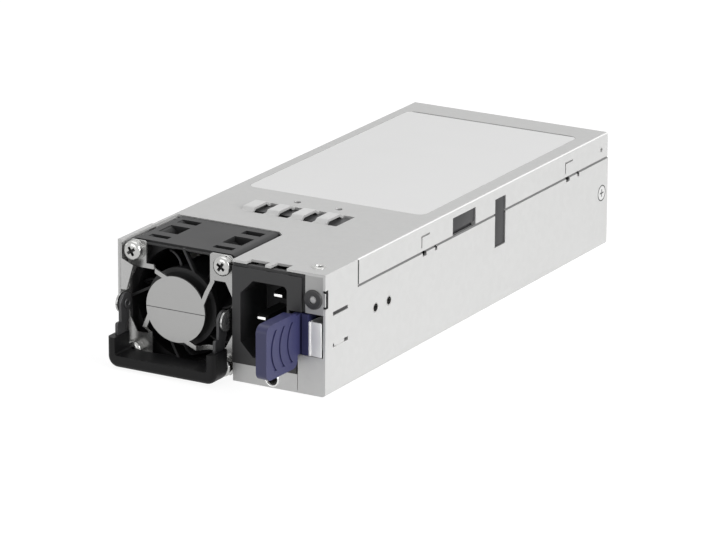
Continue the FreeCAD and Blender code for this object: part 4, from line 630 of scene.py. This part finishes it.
# ---------------------------------------------------------------- handle pins
# Two semi-tubular rivets of blackened steel carry the arms. The hollow end is rolled over into
# a smooth rim on the inner face of each arm.
pin_low, pin_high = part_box("handle_pins")
pin_out = (pin_high.x - pin_low.x) / 2
inner = (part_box("handle_arm_right")[0].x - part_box("handle_arm_left")[1].x) / 2
rivet = [(0.0, pin_out), (0.001, pin_out), (0.001, inner - 0.00005), (0.0015, inner - 0.0001),
         (0.00165, inner - 0.00035), (0.00145, inner - 0.0006), (0.0011, inner - 0.0006),
         (0.00085, inner - 0.0004), (0.0008, inner + 0.0008), (0.0, inner + 0.001)]
pin_right = soften(turned("handle_pin_right", rivet, steps=32, closed=False), 0.00008)
pin_left = bpy.data.objects.new("handle_pin_left", pin_right.data.copy())
bpy.context.collection.objects.link(pin_left)
hinge = Matrix.Translation((pin_low + pin_high) / 2)
for pin, turn in ((pin_right, -math.pi / 2), (pin_left, math.pi / 2)):
    pin.data.transform(hinge @ Matrix.Rotation(turn, 4, "Z"))
    coat(pin, arm_steel)
    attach(pin, "supply")
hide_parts("handle_pins")


# ---------------------------------------------------------------- fan rotor
# The impeller is one moulding of black glass-filled plastic: a cup over the motor and seven
# helical blades, curved towards their tips, with rounded edges.
HUB, TIP, WALL, SWEEP = 0.0118, 0.0174, 0.0011, math.radians(46)
BOSS, SHAFT_BORE, ROOT, BLADES, STATIONS = 0.003, 0.00153, 0.0004, 7, 6
rotor_black = moulding("rotor_black", (0.012, 0.012, 0.013), 0.45)
hub_low, hub_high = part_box("fan_impeller")
hub_back = hub_high.y
cup = [(BOSS, hub_back), (HUB - 0.0014, hub_back), (HUB - 0.0004, hub_back - 0.0004),
       (HUB, hub_back - 0.0014), (HUB, hub_low.y), (HUB - WALL, hub_low.y),
       (HUB - WALL, hub_back - WALL), (BOSS, hub_back - WALL), (BOSS, hub_back - 3 * WALL),
       (SHAFT_BORE, hub_back - 3 * WALL), (SHAFT_BORE, hub_back)]
rotor_cup = soften(turned("rotor_cup", cup, steps=64), 0.0003)
spine = []
for station in range(STATIONS + 1):
    share = station / STATIONS
    radius = HUB - ROOT + share * (TIP - HUB + ROOT)
    lean = 0.22 * share * share
    back = hub_low.y + 0.0012 + 0.0012 * share
    spine.append((radius * math.cos(lean), back, radius * math.sin(lean)))
mesh = bpy.data.meshes.new("rotor_blade")
mesh.from_pydata(spine, [(station, station + 1) for station in range(STATIONS)], [])
blade = bpy.data.objects.new("rotor_blade", mesh)
bpy.context.collection.objects.link(blade)
pick(blade)
helix = blade.modifiers.new("helix", "SCREW")
helix.axis = "Y"
helix.angle = -SWEEP
helix.screw_offset = (hub_high.y - hub_low.y) * 0.82
helix.steps = helix.render_steps = 12
bpy.ops.object.modifier_apply(modifier=helix.name)
thickness = blade.modifiers.new("thickness", "SOLIDIFY")
thickness.thickness = 0.0009
thickness.offset = 0.0
bpy.ops.object.modifier_apply(modifier=thickness.name)
soften(blade, 0.00022, angle=50.0)
turns = [math.tau * index / BLADES for index in range(BLADES)]
blades = placed(blade, [(0, 0, 0)] * BLADES, turns)
for piece in (rotor_cup, blades):
    piece.data.transform(Matrix.Translation((fan_x, 0.0, fan_z)))
    coat(piece, rotor_black)
    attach(piece, "rotor")
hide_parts("fan_impeller")


# ---------------------------------------------------------------- lid's bends and flanges
# The lid's long bends are painted bright as a highlight, and the top faces of its bridges have a
# paler tone. The joint where the flange meets the tray's full-width front is painted dark as the
# shade in its gap.
BEND_REACH, BRIDGE_DEPTH, BRIDGE_RIGHT = 0.002, 0.00092, 0.016
BRIDGE_FRONT, BRIDGE_BACK = CASE_FRONT + 0.0450, CASE_FRONT + 0.0575
lid_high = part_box("top_cover")[1]


def flange_gap_shade(finish):
    """The painted shade of the gap in front of the right flange, as high as the flange."""
    upright = finish.near(finish.along("Y"), CASE_FRONT + 0.01965, 0.00038)
    beside = finish.near(finish.along("Z"), lid_high.z - 0.0052, 0.0038)
    return upright * beside * finish.past(finish.along("X"), RIGHT_WALL - 0.0003)


cover = eased("top_cover", "supply", 0.00028, 3, edge_highlight)
lid_steel = plated_sheet("lid_steel", CASE_TONE, CASE_ROUGHNESS, painted_shade=flange_gap_shade, shade_tone=0.03)
cover.data.materials[0] = lid_steel
cover.data.materials.append(plated_sheet("bend_painted_highlight", (0.97, 0.97, 0.96), 0.2, 0.4))
cover.data.materials.append(plated_sheet("bridge_steel", (0.69, 0.69, 0.685), 0.36))
# The lid's own steel and its painted edge highlight have slots 0 and 1.
BEND_HIGHLIGHT_SLOT, BRIDGE_SLOT = 2, 3
for face in cover.data.polygons:
    middle, normal = face.center, face.normal
    # Faces on the long bends take the painted highlight.
    if abs(normal.x) > 0.5 and normal.z > 0.5 and abs(middle.x) > RIGHT_WALL - BEND_REACH:
        face.material_index = BEND_HIGHLIGHT_SLOT
    if middle.z > lid_high.z - BRIDGE_DEPTH and normal.z > 0.2 and abs(normal.x) < 0.3:
        if BRIDGE_FRONT < middle.y < BRIDGE_BACK and middle.x < BRIDGE_RIGHT:
            face.material_index = BRIDGE_SLOT


# ---------------------------------------------------------------- light's bracket
# The light sits in a bent steel bracket. Its narrow ear stands in the notch of the right wall,
# with a gap behind it. The ear's outer face is painted bright as a highlight.
EAR_THICK, EAR_SHARE = 0.0011, 0.3
dress(plated_sheet("bracket_steel", (0.42, 0.42, 0.415), CASE_ROUGHNESS), "led_bracket")
bracket = eased("led_bracket", "supply", 0.00012, 2, edge_highlight)
bracket_low, bracket_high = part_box("led_bracket")
for corner in bracket.data.vertices:
    if corner.co.x > bracket_high.x - EAR_THICK:
        corner.co.y = bracket_low.y + (corner.co.y - bracket_low.y) * EAR_SHARE
# The ear's outer face takes the bright edge finish, a painted highlight.
for face in bracket.data.polygons:
    if face.normal.x > 0.9 and face.center.x > bracket_high.x - 0.0003:
        face.material_index = 1


# ---------------------------------------------------------------- shade in the notch
# A small block with rounded edges, in a black moulded-plastic finish, sits in the notch of the
# right wall, behind the ear. It is painted shade in the gap there.
def block(name, size, middle):
    """A box of that size about that middle, ready to be worked on."""
    bpy.ops.object.select_all(action="DESELECT")
    bpy.ops.mesh.primitive_cube_add(size=1.0)
    piece = bpy.context.object
    piece.name = name
    piece.scale = size
    piece.location = middle
    bpy.ops.object.transform_apply(location=True, rotation=True, scale=True)
    return piece


notch_shade_middle = (RIGHT_WALL - 0.00030, CASE_FRONT + 0.00084, 0.0306)
notch_shade = soften(block("notch_shade_block", (0.0005, 0.00166, 0.0057), notch_shade_middle), 0.0001, angle=30.0)
coat(notch_shade, moulding("notch_shade_black", (0.006, 0.006, 0.006), 0.6, shine=0.2))
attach(notch_shade, "supply")


# ---------------------------------------------------------------- guard's side strip
# The guard's plate is folded forward along the left wall and turned in flush with the case.
# It is the same thin plated steel, notched round the screw.
STRIP_WIDE, STRIP_TALL, STRIP_HEIGHT, STRIP_WIDENS = 0.0021, 0.0082, 0.0268, 0.0024
STRIP_X, TOUCHING = LEFT_WALL + 0.0020, 0.00001
bpy.ops.object.select_all(action="DESELECT")
bpy.ops.mesh.primitive_plane_add(size=1.0)
strip = bpy.context.object
strip.name = "guard_strip"
bpy.ops.transform.rotate(value=math.pi / 2, orient_axis="X", center_override=(0, 0, 0))
bpy.ops.transform.resize(value=(STRIP_WIDE, 1.0, STRIP_TALL))
bpy.ops.transform.translate(value=(STRIP_X, CASE_FRONT + 0.0003, STRIP_HEIGHT))
bpy.ops.object.transform_apply(location=True, rotation=True, scale=True)
top = max(corner.co.z for corner in strip.data.vertices)
for corner in strip.data.vertices:
    if corner.co.z > top - TOUCHING and corner.co.x > STRIP_X:
        corner.co.x += STRIP_WIDENS
for rise, inward in ((0.0017, 0.0040), (0.0053, 0.0)):
    top = max(corner.co.z for corner in strip.data.vertices)
    bpy.ops.object.mode_set(mode="EDIT")
    bpy.ops.mesh.select_mode(type="VERT")
    bpy.ops.mesh.select_all(action="DESELECT")
    bpy.ops.object.mode_set(mode="OBJECT")
    for corner in strip.data.vertices:
        corner.select = corner.co.z > top - TOUCHING
    bpy.ops.object.mode_set(mode="EDIT")
    bpy.ops.mesh.extrude_region_move(TRANSFORM_OT_translate={"value": (0, 0, rise)})
    bpy.ops.object.mode_set(mode="OBJECT")
    right = max(corner.co.x for corner in strip.data.vertices if corner.select)
    for corner in strip.data.vertices:
        if corner.select and corner.co.x > right - TOUCHING:
            corner.co.x -= inward
fold = strip.modifiers.new("thickness", "SOLIDIFY")
fold.thickness = 0.0004
bpy.ops.object.modifier_apply(modifier=fold.name)
strip.data.materials.append(guard_steel)
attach(strip, "supply")


# ---------------------------------------------------------------- film under the lid
# The insulating film folds over the parts below the lid's bridges, a little wavy, and there it is
# given a lighter tone as painted light. Its edge presses flush into the two windows of the right
# flange, and a dark strip stands in the upper side slot as painted shade.
WAVE, FILM_THICK = 0.0004, 0.0004
sheet_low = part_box("insulator_sheet")[0]
flap_middle = (-0.0055, sheet_low.y + 0.0072, lid_high.z - 0.0019)
bpy.ops.object.select_all(action="DESELECT")
bpy.ops.mesh.primitive_plane_add(size=1.0, location=flap_middle)
flap = bpy.context.object
flap.name = "film_flap"
bpy.ops.object.mode_set(mode="EDIT")
bpy.ops.mesh.select_all(action="SELECT")
bpy.ops.transform.resize(value=(0.046, 0.016, 1.0))
bpy.ops.mesh.subdivide(number_cuts=12)
bpy.ops.object.mode_set(mode="OBJECT")
bpy.ops.object.transform_apply(location=True, rotation=True, scale=True)
for corner in flap.data.vertices:
    corner.co.z += WAVE * math.sin(corner.co.x * 170) * math.cos(corner.co.y * 210)
thickness = flap.modifiers.new("thickness", "SOLIDIFY")
thickness.thickness = FILM_THICK
bpy.ops.object.modifier_apply(modifier=thickness.name)
bpy.ops.object.shade_smooth_by_angle(angle=math.radians(40))
flap.data.materials.append(moulding("flap_film_lit", (0.085, 0.085, 0.087), 0.45))
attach(flap, "supply")

# Each runs from one distance behind the case's front to another, and from one height to another.
for name, (near, far), (low, high), material in (
    # The strip in the upper slot is near black, as painted shade.
    ("slot_shade_strip", (0.0046, 0.0134), (0.02465, 0.02575), rotor_black),
    ("film_window", (0.0788, 0.0934), (0.0315, 0.0359), film.material),
    ("film_tall", (0.1066, 0.1134), (0.0191, 0.0349), film.material),
):
    middle = (RIGHT_WALL - 0.00045, CASE_FRONT + (near + far) / 2, (low + high) / 2)
    window = soften(block(name, (0.0003, far - near, high - low), middle), 0.0001, angle=30.0)
    coat(window, material)
    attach(window, "supply")


# ---------------------------------------------------------------- inlet blades
# Three blades of nickel-plated brass stand in the inlet. Each is stamped, and its tip is ground
# to a small flat between four slopes. Their sides are painted near black as shade in the inlet,
# and the tip's flat has a bright finish.
GROUND_LENGTH = 0.0011
tip_bright = plated_sheet("blade_tip", (0.97, 0.97, 0.96), 0.12, 1.0)
side_shade_finish = plated_sheet("blade_side", (0.02, 0.02, 0.02), 0.4, 0.5)
for node in ("inlet_line_pin", "inlet_neutral_pin", "inlet_earth_pin"):
    low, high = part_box(node)
    pin = block(node + "_ground", high - low, (low + high) / 2)
    bpy.ops.object.mode_set(mode="EDIT")
    bpy.ops.mesh.select_mode(type="FACE")
    bpy.ops.mesh.select_all(action="DESELECT")
    bpy.ops.object.mode_set(mode="OBJECT")
    for face in pin.data.polygons:
        face.select = face.normal.y < -0.9
    bpy.ops.object.mode_set(mode="EDIT")
    bpy.ops.transform.translate(value=(0, GROUND_LENGTH, 0))
    bpy.ops.mesh.extrude_region_move(TRANSFORM_OT_translate={"value": (0, -GROUND_LENGTH, 0)})
    bpy.ops.transform.resize(value=(0.7, 1.0, 0.4))
    bpy.ops.object.mode_set(mode="OBJECT")
    soften(pin, 0.00012, angle=20.0)
    coat(pin, side_shade_finish, tip_bright)
    for face in pin.data.polygons:
        if face.normal.y < -0.9 and face.center.y < low.y + 0.0002:
            face.material_index = 1
    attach(pin, "supply")
    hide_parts(node)


# ---------------------------------------------------------------- latch leaf
# The leaf that carries the tab is a strip of polished spring steel, painted near white as the
# reflection it shows. It is bent once behind the tab's root, and the bend is a narrow face painted
# the same bright white.
LEAF_DROP, LEAF_SHARE, BEND_STEP = 0.0008, 0.93, 0.0004
leaf = eased("latch_leaf", "latch", 0.00008, 2)
leaf_low, leaf_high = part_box("latch_leaf")
for corner in leaf.data.vertices:
    corner.co.z = leaf_low.z - LEAF_DROP + (corner.co.z - leaf_low.z) * LEAF_SHARE
leaf_reflection = plated_sheet("leaf_painted_reflection", (0.98, 0.98, 0.98), 0.2, 0.0)
coat(leaf, leaf_reflection)
bend_right = RIGHT_WALL - 0.00125
bend_tall = (leaf_high.z - leaf_low.z) * LEAF_SHARE
bend_middle = ((bend_right + leaf_low.x) / 2, leaf_low.y + 0.0006,
               leaf_low.z - LEAF_DROP + bend_tall / 2)
bend = block("leaf_bend", (bend_right - leaf_low.x, 0.0004, bend_tall), bend_middle)
for corner in bend.data.vertices:
    if corner.co.x > leaf_low.x + 0.001:
        corner.co.y -= BEND_STEP
soften(bend, 0.00012, angle=30.0)
coat(bend, leaf_reflection)
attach(bend, "latch")


# ---------------------------------------------------------------- stamped lance and stake
# The lower slot in the right wall is bridged by the strip that was stamped out of it. A stake
# on the lid holds the light's bracket: a small rolled ring round a dimple.
LANCE_MIDDLE, LANCE_LENGTH, LANCE_TALL, LANCE_HEIGHT = CASE_FRONT + 0.0090, 0.0060, 0.0014, 0.01520
LANCE_HALF, LANCE_BOW, LANCE_SINK = 0.0033, 0.00038, 0.0001
bpy.ops.object.select_all(action="DESELECT")
bpy.ops.mesh.primitive_grid_add(x_subdivisions=10, y_subdivisions=4, size=1.0)
lance = bpy.context.object
lance.name = "side_lance"
facing_right = Matrix(((0, 0, 1, 0), (1, 0, 0, 0), (0, 1, 0, 0), (0, 0, 0, 1)))
lance.data.transform(facing_right)
lance.data.transform(Matrix.Diagonal((1.0, LANCE_LENGTH, LANCE_TALL, 1.0)))
lance.data.transform(Matrix.Translation((RIGHT_WALL - 0.0004, LANCE_MIDDLE, LANCE_HEIGHT)))
for corner in lance.data.vertices:
    share = (corner.co.y - LANCE_MIDDLE) / LANCE_HALF
    corner.co.x += LANCE_BOW * (1 - share * share) - LANCE_SINK
pick(lance)
thickness = lance.modifiers.new("thickness", "SOLIDIFY")
thickness.thickness = 0.0005
thickness.offset = -1.0
bpy.ops.object.modifier_apply(modifier=thickness.name)
bpy.ops.mesh.customdata_custom_splitnormals_clear()
bpy.ops.object.mode_set(mode="EDIT")
bpy.ops.mesh.select_all(action="SELECT")
bpy.ops.mesh.normals_make_consistent(inside=False)
bpy.ops.object.mode_set(mode="OBJECT")
bpy.ops.object.shade_smooth_by_angle(angle=math.radians(40))
lance.data.materials.append(case_steel)
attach(lance, "supply")

ring = [(0.0012, -0.0001), (0.0014, 0.0003), (0.0018, 0.0004), (0.0022, 0.0003), (0.0025, -0.0001)]
stake = soften(turned("lid_stake", ring, steps=32), 0.00005)
stake_place = Matrix.Translation((0.0307, CASE_FRONT + 0.0065, lid_high.z - 0.001))
stake.data.transform(stake_place @ Matrix.Rotation(math.pi / 2, 4, "X"))
coat(stake, screw_steel)
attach(stake, "supply")


# ---------------------------------------------------------------- rolled hole
# The small hole under the tab has a rolled lip. It is pressed out of the front's own steel and
# stands a little proud of it, and it is painted bright as a highlight.
lip = [(0.0019, 0.0001), (0.0020, -0.00028), (0.0022, -0.00038), (0.0024, -0.00028),
       (0.00255, 0.0001)]
rolled_lip = soften(turned("hole_lip", lip, steps=32), 0.00005)
rolled_lip.data.transform(Matrix.Translation((0.01810, CASE_FRONT, 0.0028)))
coat(rolled_lip, edge_highlight)
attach(rolled_lip, "supply")
